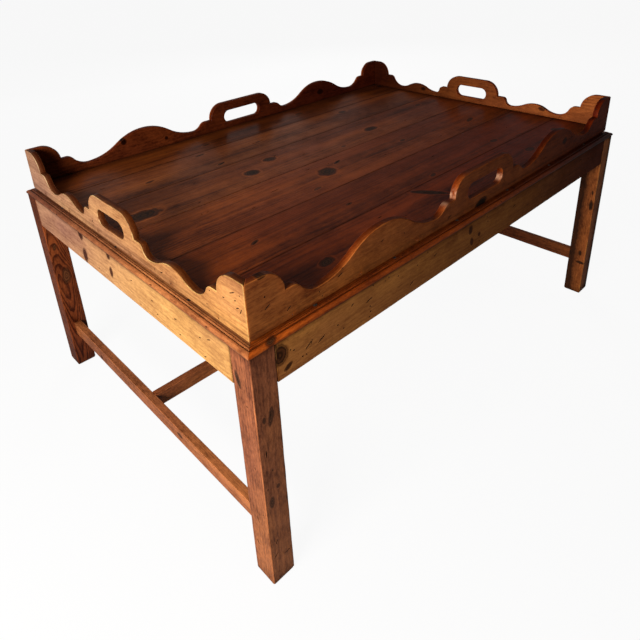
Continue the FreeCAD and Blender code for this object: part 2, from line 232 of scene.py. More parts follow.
@dataclass
class Board:
    """A board: the node it stands for, its finish, the way its grain runs, what time has done to it and the
    light and shade painted on it.

    The tints are factors of the finish's own colours: over the whole board, towards its high end, on its
    inner face at the low and the high end, on its cut edges, and on what looks straight up. The tint towards
    the high end is painted shade, where the light falls off away from the lamp at the left. The inner-face
    tint is partly stain and partly painted shade, and on the front and left gallery boards the cut-edge and
    upward tints paint light and shade. Pale bands at the corner planes are painted highlights, and pale spots
    on cut edges are painted glints. The arris names the setting that says how wide its edges are softened.
    """
    node: str
    finish: str
    along: str
    across: str
    heart: tuple = (14.0, -52.0)
    ring: float = 3.6
    sway: float = 22.0
    wander: float = 14.0
    knots: tuple = ()
    marks: tuple = ()
    scatter: float = 45.0
    dirt_and_shade_planes: tuple = ()
    painted_highlights: tuple = ()
    glints: tuple = ()
    tint: tuple = WHITE
    far: tuple = WHITE
    inside: tuple = ()
    sawn: tuple = (0.92, 0.52, 0.30)
    crown: tuple = WHITE
    bold: float = 1.0
    mottle: float = 1.0
    arris: str = "arris"

    @property
    def through(self):
        return next(axis for axis in AXES if axis not in (self.along, self.across))


def inner_side(node, axis):
    """How far a node's inner side is from the table's middle, or its foot from the floor, in millimetres."""
    return min(abs(corner[AXES.index(axis)]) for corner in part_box(node)) / MM


def outer_side(node, axis):
    """How far a node's outer side is from the table's middle, or its top from the floor, in millimetres."""
    return max(abs(corner[AXES.index(axis)]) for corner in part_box(node)) / MM


def holes(side, *places, size=2.3):
    """Round marks from their middles."""
    return tuple(Mark(side, u, v, size, size * 0.85) for u, v in places)


def slits(side, *places, width=1.7):
    """Marks from their middle, length and turn in degrees."""
    return tuple(Mark(side, u, v, run, width, math.radians(turn)) for u, v, run, turn in places)


STAND_TOP = outer_side("leg_front_left", "Z")
LEG_OUTSIDE = outer_side("leg_front_left", "X")
LEG_INSIDE = {axis: inner_side("leg_front_left", axis) for axis in "XY"}
GALLERY_OUTSIDE = {"X": outer_side("gallery_left", "X"), "Y": outer_side("gallery_front", "Y")}
GALLERY_INSIDE = {"X": inner_side("gallery_left", "X"), "Y": inner_side("gallery_front", "Y")}
GALLERY_BOTTOM = inner_side("gallery_front", "Z")
RIM_OUTSIDE = {"X": outer_side("rim_left", "X"), "Y": outer_side("rim_front", "Y")}
TRAY_FLOOR = outer_side("floor_board_1", "Z")
# How far in from the rim's outside its quirk and the inner edge of its bead lie
QUIRK = 7.9
BEAD = 11.6


def rim_ledge(axis):
    """The thin dark lines along a rim, painted shade with some dirt in its grooves and under its edges: the
    gallery's foot, the quirk, the bead and the lower edge.
    """
    return (
        Plane(axis, GALLERY_OUTSIDE[axis], 0.9, 1.1), Plane(axis, RIM_OUTSIDE[axis] - QUIRK, 0.8, 1.3),
        Plane(axis, RIM_OUTSIDE[axis] - BEAD, 0.45, 0.8), Plane("Z", STAND_TOP, 1.4, 1.1),
    )


# Dirt round a leg's foot, and painted shade with dirt under the rim at its top
LEG_DIRT_AND_SHADE = (Plane("Z", 0.0, 16.0, 0.6), Plane("Z", STAND_TOP, 5.0, 0.9))
# Dirt and painted shade where an apron or a stretcher meets a leg
LEG_ENDS_X = (Plane("X", LEG_INSIDE["X"], 2.0, 0.9),)
LEG_ENDS_Y = (Plane("Y", LEG_INSIDE["Y"], 2.0, 0.9),)
# Painted shade with dirt along an apron's top, under the rim
UNDER_RIM = (Plane("Z", STAND_TOP, 3.5, 1.0),)
# Painted shade with dirt on the tray's floor along the gallery
TRAY_EDGES = (Plane("X", GALLERY_INSIDE["X"], 12.0, 0.8), Plane("Y", GALLERY_INSIDE["Y"], 9.0, 0.8))
# Painted shade with dirt at the gallery's foot, above the rim and on the tray's floor
GALLERY_FOOT = (Plane("Z", GALLERY_BOTTOM, 2.5, 0.9), Plane("Z", TRAY_FLOOR, 2.5, 0.45))
# Painted highlights: pale bands along the gallery's outer corners, where the rubbed arris catches the light
CORNER_HIGHLIGHT_X = (Plane("X", GALLERY_OUTSIDE["X"], 1.4, 0.9),)
CORNER_HIGHLIGHT_Y = (Plane("Y", GALLERY_OUTSIDE["Y"], 1.4, 0.9),)

LEGS = (
    Board(
        "leg_front_left", "leg", "Z", "X", heart=(30.0, 40.0), ring=3.9, sway=26.0,
        knots=(
            Knot(342, -554, 28, 9, 0.15, 0.75), Knot(343, -566, 11, 6), Knot(182, -567, 20, 9, 0.0, 0.7),
            Knot(205, -553, 8, 6, 0.0, 0.7), Knot(407, -368, 26, 9, 0.25, 0.9, "Y"),
        ),
        marks=slits(
            "front", (-568, 281, 15, 88), (-554, 346, 12, 75), (-572, 213, 5, 80), (-566, 93, 9, 55),
            (-570, 65, 12, 40), (-548, 53, 12, 8), (-560, 243, 5, 90),
        ) + slits("left", (-368, 405, 15, 80), (-376, 136, 14, 70), (-369, 77, 11, 60), (-384, 250, 6, 85)),
    ),
    Board(
        # Its strong tint partly paints the light on it, and its planes paint shade: towards its outer side,
        # and a shadow strip along its rear
        "leg_front_right", "leg", "Z", "X", heart=(-34.0, 36.0), ring=3.4, tint=(1.75, 1.60, 0.92),
        dirt_and_shade_planes=(Plane("X", LEG_OUTSIDE, 15.0, 1.3), Plane("Y", LEG_INSIDE["Y"], 11.0, 3.2)),
        knots=(
            Knot(272, -393, 27, 9, 0.0, 1.0, "Y"), Knot(308, -392, 12, 5, 0.0, 0.8, "Y"),
            Knot(125, -385, 14, 8, 0.0, 0.9, "Y"), Knot(97, -389, 8, 22, 0.0, 0.9, "Y"),
            Knot(352, 572, 12, 6, 0.0, 0.7),
        ),
        marks=slits("front", (553, 282, 12, 80), (544, 317, 8, 85), (560, 363, 8, 80), (541, 151, 11, 75)),
    ),
    Board(
        "leg_back_left", "leg", "Z", "X", heart=(-8.0, 30.0), ring=1.4, sway=34.0, wander=24.0, bold=4.2,
        # Its dark tint is partly painted shade on this far leg
        tint=(0.58, 0.40, 0.28),
        knots=(Knot(250, -556, 40, 18, 0.1, 0.6), Knot(330, -566, 16, 8, 0.2, 0.7)),
        marks=slits("left", (378, 140, 8, 80), (372, 330, 6, 85)),
    ),
    Board(
        "leg_back_right", "leg", "Z", "X", heart=(26.0, 44.0), ring=3.6, tint=(0.90, 0.85, 0.80),
        knots=(Knot(300, 560, 26, 14), Knot(150, 384, 18, 9, 0.0, 0.7, "Y")),
        marks=slits("back", (556, 220, 9, 80), (566, 350, 7, 85)) + slits("right", (378, 120, 9, 80)),
    ),
)

# In these tables a far tint is painted shade: the light falls off towards each board's high end, away from
# the lamp at the left, and on some boards turns cooler there
APRONS = (
    Board(
        # Its redder tint is partly stain and partly painted shade on this shaded front
        "apron_front", "apron", "X", "Z", heart=(10.0, -46.0), ring=4.2, sway=26.0, tint=(0.97, 0.74, 0.54),
        far=(0.17, 0.06, 0.025), scatter=50.0,
        knots=(
            Knot(-529, 434, 27, 33, 0.3, 0.85), Knot(-541, 455, 12, 16, 0.6, 1.0),
            Knot(-516, 407, 15, 8, 0.5, 0.85), Knot(-64, 441, 12, 17, 0.0, 0.7),
            Knot(-58, 414, 10, 16, 0.3, 0.5), Knot(-33, 420, 9, 9, 0.0, 0.5),
        ),
        marks=holes(
            "front", (-510, 432), (-504, 428), (-489, 408), (-405, 410), (-417, 422), (-345, 418),
            (-344, 408), (-347, 399), (-300, 450), (-276, 441), (-338, 453), (-197, 451), (-225, 438),
            (-110, 451), (-30, 404), (-4, 436), (-8, 447), (214, 428), (218, 410), (257, 449), (352, 421),
            (448, 433), size=3.0,
        ) + slits(
            "front", (-451, 417, 17, 24), (-476, 421, 20, 34), (-347, 431, 16, 12), (-174, 436, 10, 22),
            (-240, 410, 12, 25), (95, 433, 13, 14), (310, 416, 11, 20), (402, 442, 14, 16),
            (-385, 441, 8, 30), width=2.2,
        ),
    ),
    Board(
        "apron_back", "apron", "X", "Z", heart=(-12.0, 50.0), ring=4.0, tint=(0.9, 0.8, 0.75), scatter=50.0,
        knots=(Knot(-320, 430, 26, 20), Knot(140, 412, 18, 14), Knot(420, 440, 22, 17, 0.3, 0.9)),
        marks=slits("back", (-150, 420, 15, 20), (60, 440, 12, 160), (300, 410, 14, 25)),
    ),
    Board(
        "apron_left", "apron", "Y", "Z", heart=(22.0, -60.0), ring=4.4, sway=30.0, scatter=30.0,
        tint=(1.08, 1.08, 1.04), far=(0.74, 0.70, 1.42),
        knots=(
            Knot(122, 453, 20, 22, 0.0, 0.85), Knot(119, 409, 19, 31, 0.25, 0.75),
            Knot(5, 452, 13, 15, 0.0, 0.85), Knot(6, 418, 12, 22, 0.2, 0.75),
        ),
        marks=slits(
            "left", (-213, 427, 10, 160), (-281, 429, 6, 165), (-305, 438, 11, 155), (-142, 427, 7, 165),
            (-153, 406, 5, 160), (-221, 402, 6, 165), (-289, 399, 8, 150), (-75, 436, 6, 165),
            (60, 404, 7, 165), width=1.8,
        ) + holes("left", (259, 437), (328, 440), (212, 414), (-96, 398)),
    ),
    Board(
        "apron_right", "apron", "Y", "Z", heart=(-16.0, 55.0), ring=3.9, tint=(0.92, 0.85, 0.8), scatter=40.0,
        knots=(Knot(-180, 425, 24, 18), Knot(210, 438, 20, 18, 0.2, 0.9)),
        marks=slits("right", (-60, 415, 11, 20), (120, 430, 9, 165)),
    ),
)

STRETCHERS = (
    Board(
        "stretcher_left", "stretcher", "Y", "Z", heart=(20.0, 34.0), ring=3.2, dirt_and_shade_planes=LEG_ENDS_Y, scatter=40.0,
        knots=(Knot(-120, 108, 16, 9, 0.0, 0.7), Knot(215, 99, 13, 8)),
    ),
    Board(
        "stretcher_right", "stretcher", "Y", "Z", heart=(-18.0, -34.0), ring=3.2, dirt_and_shade_planes=LEG_ENDS_Y,
        scatter=40.0, tint=(0.62, 0.50, 0.40), knots=(Knot(90, 104, 15, 9),),
    ),
    Board(
        "stretcher_centre", "stretcher", "X", "Z", heart=(16.0, 40.0), ring=3.4, scatter=40.0,
        tint=(0.85, 0.8, 0.75), knots=(Knot(-260, 106, 17, 9), Knot(310, 102, 14, 9, 0.0, 0.7)),
    ),
)

RIM = (
    Board(
        # Its dark tint is partly painted shade on this shaded front, deepened by its far tint towards the
        # right end
        "rim_front", "rim", "X", "Y", heart=(8.0, -40.0), tint=(0.92, 0.55, 0.22), far=(0.12, 0.05, 0.022),
        knots=(Knot(-540, -397, 20, 9, 0.2),),
    ),
    Board("rim_back", "rim", "X", "Y", heart=(-8.0, -44.0), tint=(0.85, 0.75, 0.7)),
    Board(
        "rim_left", "rim", "Y", "X", heart=(10.0, -36.0), tint=(0.84, 0.90, 1.20), far=(0.52, 0.48, 0.70),
        marks=slits("left", (-150, 461, 9, 170), (60, 462, 7, 5), (-305, 461, 6, 175), (230, 460, 8, 10)),
    ),
    Board("rim_right", "rim", "Y", "X", heart=(-10.0, -40.0), tint=(0.8, 0.7, 0.6)),
)

FLOOR = (
    Board(
        "floor_board_1", "tray_floor", "X", "Y", heart=(20.0, -46.0), ring=4.6,
        tint=(0.90, 0.62, 0.38), far=(0.72, 0.42, 0.20),
        knots=(
            Knot(-367, -329, 30, 17, 0.2, 0.95), Knot(-48, -291, 66, 17, -0.95, 1.05),
            Knot(300, -322, 26, 16), Knot(468, -298, 22, 14, 0.2, 0.7),
        ),
        marks=slits(
            "top", (-62, -272, 18, -50), (-50, -292, 24, -58), (-34, -312, 16, -55), (-194, -290, 12, 5),
            (-480, -300, 10, 8), (150, -330, 12, 4), width=3.0,
        ),
    ),
    Board(
        "floor_board_2", "tray_floor", "X", "Y", heart=(-24.0, -50.0), ring=4.2,
        tint=(1.06, 0.84, 0.62), far=(0.72, 0.46, 0.26),
        knots=(
            Knot(31, -245, 20, 9, 0.3, 0.9), Knot(-189, -209, 17, 7, 0.1), Knot(300, -228, 24, 13),
            Knot(-405, -193, 20, 8, 0.35, 0.9),
        ),
        marks=slits("top", (-405, -194, 15, 22), (-189, -209, 9, 10), (120, -180, 12, 5), (410, -200, 10, 8)),
    ),
    Board(
        "floor_board_3", "tray_floor", "X", "Y", heart=(12.0, -58.0), ring=4.4,
        tint=(1.36, 1.26, 1.25), far=(0.68, 0.52, 0.40),
        knots=(
            Knot(-101, -61, 42, 36, 0.4, 0.95), Knot(-46, -37, 26, 9, 0.35, 0.95),
            Knot(410, -91, 36, 12, 0.3, 0.85), Knot(165, -57, 18, 10, 0.1, 0.75),
            Knot(-178, -111, 20, 8, 0.15, 0.6),
        ),
        marks=slits(
            "top", (-242, -52, 26, 4), (-391, -31, 7, 10), (-377, 0, 6, 15), (-322, -84, 12, 3),
            (-44, -36, 18, 20), (-120, -20, 14, 5), (250, -110, 14, 6), (60, -90, 9, 4),
        ),
    ),
    Board(
        "floor_board_4", "tray_floor", "X", "Y", heart=(-10.0, -50.0), ring=4.0,
        # Its cool tint paints part of the sheen on the left of the floor, faded towards the right by its far
        # tint
        tint=(1.50, 1.60, 1.95), far=(0.72, 0.57, 0.45),
        knots=(
            Knot(-482, 50, 66, 34, 0.0, 1.0), Knot(-213, 61, 33, 28, 0.0, 1.0),
            Knot(-135, 96, 31, 22, 0.0, 0.85), Knot(183, 65, 40, 24, 0.1, 0.95),
            Knot(440, 105, 22, 12, 0.2), Knot(40, 25, 15, 8, 0.0, 0.7),
        ),
        marks=slits(
            "top", (-377, 18, 8, 12), (-112, 104, 14, 28), (-60, 60, 11, 4), (300, 40, 12, 6),
            (-330, 110, 9, 4),
        ),
    ),
    Board(
        "floor_board_5", "tray_floor", "X", "Y", heart=(18.0, -44.0), ring=4.2,
        # Its cool tint paints part of the sheen on the left of the floor, faded towards the right by its far
        # tint
        tint=(1.46, 1.72, 2.3), far=(0.74, 0.60, 0.48),
        knots=(
            Knot(-227, 247, 28, 7, 0.1, 0.9), Knot(-225, 161, 22, 9, 0.3, 0.85),
            Knot(250, 232, 26, 14, 0.0, 0.85), Knot(-392, 190, 20, 8, 0.15, 0.7),
            Knot(-75, 215, 16, 6, 0.1),
        ),
        marks=slits(
            "top", (-226, 247, 24, 6), (-222, 161, 22, 20), (-90, 214, 12, 5), (-62, 217, 12, 8),
            (90, 190, 14, 4), (-478, 234, 14, 4), (380, 170, 10, 6),
        ),
    ),
    Board(
        "floor_board_6", "tray_floor", "X", "Y", heart=(-16.0, -48.0), ring=4.4,
        tint=(1.12, 1.15, 1.2), far=(0.80, 0.75, 0.75),
        knots=(
            Knot(545, 343, 24, 16, 0.0, 0.9), Knot(-174, 299, 22, 9, 0.2), Knot(160, 318, 26, 14, 0.0, 0.7),
        ),
        marks=slits("top", (-174, 299, 14, 12), (60, 300, 12, 5), (-420, 322, 10, 6)),
    ),
)

GALLERY = (
    Board(
        "gallery_front", "gallery", "X", "Z", heart=(-20.0, -60.0), ring=4.0, painted_highlights=CORNER_HIGHLIGHT_X,
        # Its tint is partly painted shade on this shaded front, deepened by its far tint towards the right
        # end, and its corner plane is a painted highlight
        tint=(0.82, 0.58, 0.41), far=(0.35, 0.145, 0.05), inside=((0.60, 0.45, 0.40), (0.60, 0.45, 0.40)),
        # Its bright cut edges paint light on the slopes that face the lamp, its crown tint paints shade on
        # its tops, and the pale spots on its handle are painted glints
        sawn=(1.5, 1.15, 0.85), crown=(0.36, 0.34, 0.32),
        glints=(Glint(-97, 519, 7), Glint(-124, 506, 5), Glint(59, 503, 6)),
        knots=(
            Knot(-538, 557, 13, 5, 0.0, 0.9), Knot(-13, 474, 36, 19, 0.2, 1.15),
            Knot(-385, 524, 22, 12, 0.4, 0.5), Knot(330, 506, 20, 15, 0.0, 0.7),
        ),
        marks=holes(
            "front", (-536, 526), (-439, 486), (-434, 476), (-246, 503), (72, 492), (208, 514), size=2.8,
        ) + slits(
            "front", (-533, 509, 12, 30), (-497, 488, 10, 32), (-396, 494, 12, 22), (-116, 484, 13, 14),
            (-300, 512, 9, 24), (238, 492, 12, 18), (420, 488, 9, 25), width=2.0,
        ),
    ),
    Board(
        "gallery_back", "gallery", "X", "Z", heart=(20.0, 56.0), ring=4.0, mottle=1.5,
        # Its dark inner face is partly stain and partly painted shade
        tint=(0.95, 0.90, 0.85), inside=((0.30, 0.15, 0.12), (0.18, 0.06, 0.06)),
        knots=(
            Knot(-405, 516, 22, 26, 0.4, 0.3), Knot(-352, 520, 13, 17, 0.0, 1.0), Knot(-240, 500, 9, 9),
            Knot(300, 508, 24, 16),
        ),
        marks=slits("back", (-200, 490, 12, 20), (150, 500, 10, 160), (400, 486, 12, 15)),
    ),
    Board(
        "gallery_left", "gallery", "Y", "Z", heart=(16.0, -58.0), ring=4.3, mottle=0.75, scatter=30.0,
        # Its corner plane is a painted highlight, its dark cut edges paint shade on its tops, which face away
        # from the lamp, and its inner-face tint is partly stain and partly painted shade
        painted_highlights=CORNER_HIGHLIGHT_Y, tint=(1.17, 1.25, 1.30), far=(0.90, 1.02, 1.75), sawn=(0.40, 0.24, 0.15),
        inside=((0.45, 0.32, 0.24), (0.40, 0.25, 0.16)),
        marks=slits(
            "left", (-166, 484, 10, 155), (-359, 535, 15, 152), (-368, 515, 8, 150), (-364, 525, 6, 155),
            (-375, 513, 11, 120), (-337, 518, 6, 160), (-120, 506, 5, 160),
        ) + holes(
            "left", (227, 487), (195, 479), (265, 472), (81, 489), (78, 483), (357, 515), (338, 519),
            (362, 547), (204, 492), (-292, 486),
        ),
    ),
    Board(
        "gallery_right", "gallery", "Y", "Z", heart=(-18.0, 60.0), ring=4.1,
        # The dark high end of its inner face is painted shade
        tint=(1.0, 0.85, 0.75), inside=((1.0, 0.74, 0.64), (0.09, 0.035, 0.03)),
        knots=(Knot(-220, 500, 18, 12, 0.2, 0.7), Knot(170, 496, 16, 10)),
        marks=slits("right", (-300, 500, 12, 160), (60, 486, 9, 20), (240, 500, 10, 165)),
    ),
)

HIDDEN = (
    Board("batten_left", "hidden", "Y", "X", heart=(14.0, 46.0), ring=3.6, knots=(Knot(-80, -522, 14, 10),)),
    Board("batten_middle", "hidden", "Y", "X", heart=(-12.0, 42.0), ring=3.2, knots=(Knot(210, 6, 16, 11),)),
    Board("batten_right", "hidden", "Y", "X", heart=(10.0, 50.0), ring=3.8, knots=(Knot(60, 530, 14, 9),)),
    Board("cross_bearer", "hidden", "Y", "Z", heart=(12.0, 44.0), ring=3.4, knots=(Knot(-140, 436, 18, 12),)),
)

# A seam lies where the next floor board starts
SEAMS = [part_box(board.node)[0].y / MM for board in FLOOR[1:]]


def seams_of(board):
    """Dirt in a floor board's seams, but not where its mirror image would also lie on the board."""
    low, high = (corner.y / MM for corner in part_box(board.node))
    near = [seam for seam in SEAMS if low <= seam <= high and not low < -seam < high]
    return tuple(Plane("Y", abs(seam), 2.0, 1.1) for seam in near)


for board in GALLERY:
    board.arris = "gallery_arris"
    board.dirt_and_shade_planes = GALLERY_FOOT
for board in LEGS:
    board.arris = "leg_arris"
    board.dirt_and_shade_planes += LEG_DIRT_AND_SHADE
for board in RIM:
    board.arris = "moulding_arris"
    board.dirt_and_shade_planes = rim_ledge(board.across)
for board in FLOOR:
    board.dirt_and_shade_planes = TRAY_EDGES + seams_of(board)
for board in APRONS:
    board.dirt_and_shade_planes = UNDER_RIM + (LEG_ENDS_X if board.along == "X" else LEG_ENDS_Y)

# A board's place here gives the seed of its figure, wear and scattered marks
ALL_BOARDS = LEGS + APRONS + STRETCHERS + RIM + FLOOR + GALLERY + HIDDEN

# The axis that each side faces along, which way, and the two axes that places on it are measured along
SIDES = {
    "front": ("Y", -1, "X", "Z"),
    "back": ("Y", 1, "X", "Z"),
    "left": ("X", -1, "Y", "Z"),
    "right": ("X", 1, "Y", "Z"),
    "top": ("Z", 1, "X", "Y"),
}


# Node trees written as Python

class Value:
    """A socket of a node tree that answers to Python's own arithmetic."""

    def __init__(self, graph, socket):
        self.graph = graph
        self.socket = socket

    def other(self, name):
        """Another output of the same node."""
        return Value(self.graph, self.socket.node.outputs[name])

    def __add__(self, other):
        return self.graph.maths("ADD", self, other)

    __radd__ = __add__

    def __sub__(self, other):
        return self.graph.maths("SUBTRACT", self, other)

    def __rsub__(self, other):
        return self.graph.maths("SUBTRACT", other, self)

    def __mul__(self, other):
        return self.graph.maths("MULTIPLY", self, other)

    __rmul__ = __mul__

    def __truediv__(self, other):
        return self.graph.maths("DIVIDE", self, other)

    def __neg__(self):
        return self * -1.0

    def __abs__(self):
        return self.graph.maths("ABSOLUTE", self)


class Graph:
    """A node tree in which every node is made by one method."""

    def __init__(self, tree):
        self.tree = tree

    def node(self, kind, settings=None, inputs=None, output=0):
        """A node: first its settings, then the values or links of its sockets, by name or by number."""
        made = self.tree.nodes.new(kind)
        for name, value in (settings or {}).items():
            setattr(made, name, value)
        for key, value in (inputs or {}).items():
            if isinstance(value, Value):
                self.tree.links.new(value.socket, made.inputs[key])
            else:
                made.inputs[key].default_value = value
        return Value(self, made.outputs[output]) if len(made.outputs) else made

    def maths(self, operation, *values):
        return self.node("ShaderNodeMath", {"operation": operation}, dict(enumerate(values)))

    def vector(self, x, y, z):
        return self.node("ShaderNodeCombineXYZ", inputs={"X": x, "Y": y, "Z": z})

    def noise(self, vector, detail=2.0, roughness=0.5, scale=1.0):
        inputs = {"Vector": vector, "Scale": scale, "Detail": detail, "Roughness": roughness}
        return self.node("ShaderNodeTexNoise", inputs=inputs)

    def step(self, value, low, high):
        """Zero below low, one above high and smooth between."""
        inputs = {0: value, 1: low, 2: high, 3: 0.0, 4: 1.0}
        return self.node("ShaderNodeMapRange", {"interpolation_type": "SMOOTHSTEP"}, inputs)

    def bell(self, value, spread):
        """One where the value is zero, falling off smoothly over the spread."""
        scaled = value * (1.0 / spread)
        return self.maths("EXPONENT", -(scaled * scaled))

    def mix(self, amount, first, second, blend="MIX"):
        settings = {"data_type": "RGBA", "blend_type": blend}
        return self.node("ShaderNodeMix", settings, {0: amount, 6: first, 7: second}, 2)


def shader_graph(name):
    """A new material with an empty tree."""
    material = bpy.data.materials.new(name)
    material.use_nodes = True
    material.node_tree.nodes.clear()
    return material, Graph(material.node_tree)


def opaque(rgb, factor=1.0, tint=WHITE):
    """A colour with its alpha, times a factor and a tint."""
    return (*(min(1.0, part * factor * scale) for part, scale in zip(rgb, tint)), 1.0)


def rgba(rgb):
    """A colour with its alpha, which may be brighter than white where it multiplies another."""
    return (*rgb, 1.0)


def surface(graph, **sockets):
    """The Principled shader and the output, from sockets named with underscores for spaces."""
    inputs = {name.replace("_", " "): value for name, value in sockets.items()}
    shader = graph.node("ShaderNodeBsdfPrincipled", inputs=inputs)
    graph.node("ShaderNodeOutputMaterial", inputs={"Surface": shader})


# The finish of a board

class Pine:
    """Old waxed pine: growth rings round a heart line, knots, stain, grime and rubbed arrises, with light and
    shade painted on: shade in creases, in recesses and away from the lamp, highlights on arrises and glints
    on the handles.
    """

    # Colours of live and dead knots, of dirt and painted shade, and of the painted glints on the handles, and
    # two factors that vary the stain
    KNOT_LIVE = (0.20, 0.060, 0.020)
    KNOT_DEAD = (0.038, 0.013, 0.004)
    DIRT_AND_SHADE = (0.018, 0.007, 0.004)
    PAINTED_GLINT = (1.0, 0.54, 0.32)
    PINK = (0.80, 0.74, 0.84, 1.0)
    GOLD = (1.12, 1.12, 1.02, 1.0)
    # The length and width of each figure's patches in millimetres, then the noise's detail and roughness
    FIGURES = {
        "streak": (210, 9.0, 4.0, 0.62),
        "broad": (480, 44.0),
        "grit": (7.0, 2.4, 4.0, 0.75),
        "fibre": (30, 2.0),
        "speckle": (17, 5.0, 4.0, 0.68),
        "patch": (280, 110),
        "fleck": (9, 1.3, 1.0),
        "rubbing": (40, 14),
        "drift": (330, 120),
        "sway": (460, 400, 1.0),
        "waver": (70, 11),
    }
    # Figures that run the same way in all directions: the size of a patch, its detail and roughness
    CLOUD = (46.0, 4.0, 0.62)
    RAGGED = (9.0, 3.0, 0.5)
    BROKEN = (16.0, 3.0, 0.6)
    # How far apart two boards lie in the noise
    SEED_STEP = 31.7
    # Rings round a knot: how far out in its own half-widths, how wide and how strong
    HALO = (0.95, 0.28, 0.5)
    GLOW = (1.32, 0.16, 0.15)
    FLOOR_GLOW = (1.32, 0.16, 0.5)
    BARK = (0.98, 0.10, 0.75)
    # Where the inner face's stain and painted shade start and end their fading, in millimetres from the
    # board's middle
    INNER_FADE = (-3.0, 5.0)

    def __init__(self, board, look, seed):
        self.board = board
        self.look = look
        self.material, self.graph = shader_graph("pine_" + board.node)
        self.shift = self.SEED_STEP * seed
        place = self.graph.node("ShaderNodeTexCoord", output="Object")
        split = self.graph.node("ShaderNodeSeparateXYZ", inputs={"Vector": place})
        self.mm = {axis: split.other(axis) / MM for axis in AXES}
        self.wear, self.edge, self.crown = (self.noted(name) for name in ("wear", "edge", "crown"))
        self.low, self.high = (dict(zip(AXES, corner / MM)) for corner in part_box(board.node))
        self.middle = {axis: (self.low[axis] + self.high[axis]) / 2 for axis in AXES}

    def noted(self, name):
        """What the worn mesh notes under this name."""
        settings = {"attribute_type": "GEOMETRY", "attribute_name": name}
        return self.graph.node("ShaderNodeAttribute", settings, output="Fac")

    def figure(self, name):
        """Noise whose patches are longer along the grain than across it."""
        along_size, across_size, *character = self.FIGURES[name]
        vector = self.graph.vector(
            self.mm[self.board.along] / along_size + self.shift,
            self.mm[self.board.across] / across_size,
            self.mm[self.board.through] / across_size,
        )
        return self.graph.noise(vector, *character)

    def even_figure(self, size, detail, roughness):
        """Noise whose patches are as long as they are wide."""
        x, y, z = (self.mm[axis] / size for axis in AXES)
        return self.graph.noise(self.graph.vector(x + self.shift, y, z), detail, roughness)

    def along_board(self):
        """Zero at the board's low end and one at its high end."""
        along = self.board.along
        return self.graph.step(self.mm[along], self.low[along], self.high[along])

    def inner_half(self):
        """One on the half of the board's thickness that faces the middle of the table."""
        through = self.board.through
        start, end = (abs(self.middle[through]) + fade for fade in self.INNER_FADE)
        return 1.0 - self.graph.step(abs(self.mm[through]), start, end)

    def nearness(self, planes):
        """How near a place is to any of these pairs of planes, each by its own reach and amount."""
        total = 0.0
        for plane in planes:
            gap = abs(abs(self.mm[plane.axis]) - plane.place)
            total = total + self.graph.maths("EXPONENT", gap * (-1.0 / plane.reach)) * plane.amount
        return total

    def knot_distance(self, knot, ragged):
        """Distance from a knot's middle in its own half-widths, how far across the grain, and its square."""
        along = self.mm[self.board.along] - knot.along
        across = self.mm[knot.axis or self.board.across] - knot.across
        cosine, sine = math.cos(knot.turn), math.sin(knot.turn)
        u = along * (2 * cosine / knot.length) + across * (2 * sine / knot.length)
        v = across * (2 * cosine / knot.width) - along * (2 * sine / knot.width)
        squared = u * u + v * v
        distance = self.graph.maths("SQRT", squared) + ragged
        return distance, across, squared

    def rings(self, found):
        """Late wood of the growth rings, from their distance to the heart of the tree, bent round knots."""
        board, graph = self.board, self.graph
        heart_across, heart_through = board.heart
        across = self.mm[board.across] - (self.middle[board.across] + heart_across)
        across = across + (self.figure("drift") - 0.5) * board.wander
        through = self.mm[board.through] - (self.middle[board.through] + heart_through)
        through = through + (self.figure("sway") - 0.5) * board.sway
        for knot, _, away, squared in found:
            bend = away * graph.maths("EXPONENT", squared * -0.35) * -0.85
            if knot.axis == board.through:
                through = through + bend
            else:
                across = across + bend
        radius = graph.maths("SQRT", across * across + through * through)
        ring = graph.maths("FRACT", radius / board.ring + self.figure("waver") * 0.9)
        return graph.step(ring, 0.30, 0.88) * (1.0 - graph.step(ring, 0.92, 1.0))

    def stained(self, late, streak, fibre, cloud, fleck):
        """The wood's own colour between its pale and its dark one, mottled, streaked and flecked, then tinted
        on its cut edges and on what looks straight up; on the front and left gallery boards those tints also
        paint light and shade.
        """
        graph, board, look = self.graph, self.board, self.look
        mottle = (cloud - 0.5) * 1.5 + (self.figure("speckle") - 0.5) * 1.5
        mottle = mottle + (self.figure("grit") - 0.5) * 1.6
        streaks = (streak - 0.5) * 1.6 + (self.figure("broad") - 0.5) * 2.6
        depth = late * (look.rings * board.bold * 1.5) + mottle * (look.mottle * board.mottle) + 0.36
        depth = depth + streaks * look.streaks + (fibre - 0.5) * 0.45
        tone = graph.mix(depth, opaque(look.pale, 1.0, board.tint), opaque(look.dark, 1.0, board.tint))
        patch = graph.step(self.figure("patch"), 0.32, 0.68)
        tone = graph.mix(1.0, tone, graph.mix(patch, self.PINK, self.GOLD), "MULTIPLY")
        tone = graph.mix(fleck * 0.5, tone, opaque(look.dark, 0.5, board.tint))
        # Cut edges take their own tint, which on two gallery boards also paints light and shade, and what
        # looks up takes the crown tint, painted shade
        tone = graph.mix(self.edge, tone, rgba(board.sawn), "MULTIPLY")
        return graph.mix(self.crown, tone, rgba(board.crown), "MULTIPLY")

    def band(self, distance, place, width, strength):
        """A soft ring round a knot."""
        return self.graph.bell(distance - place, width) * strength

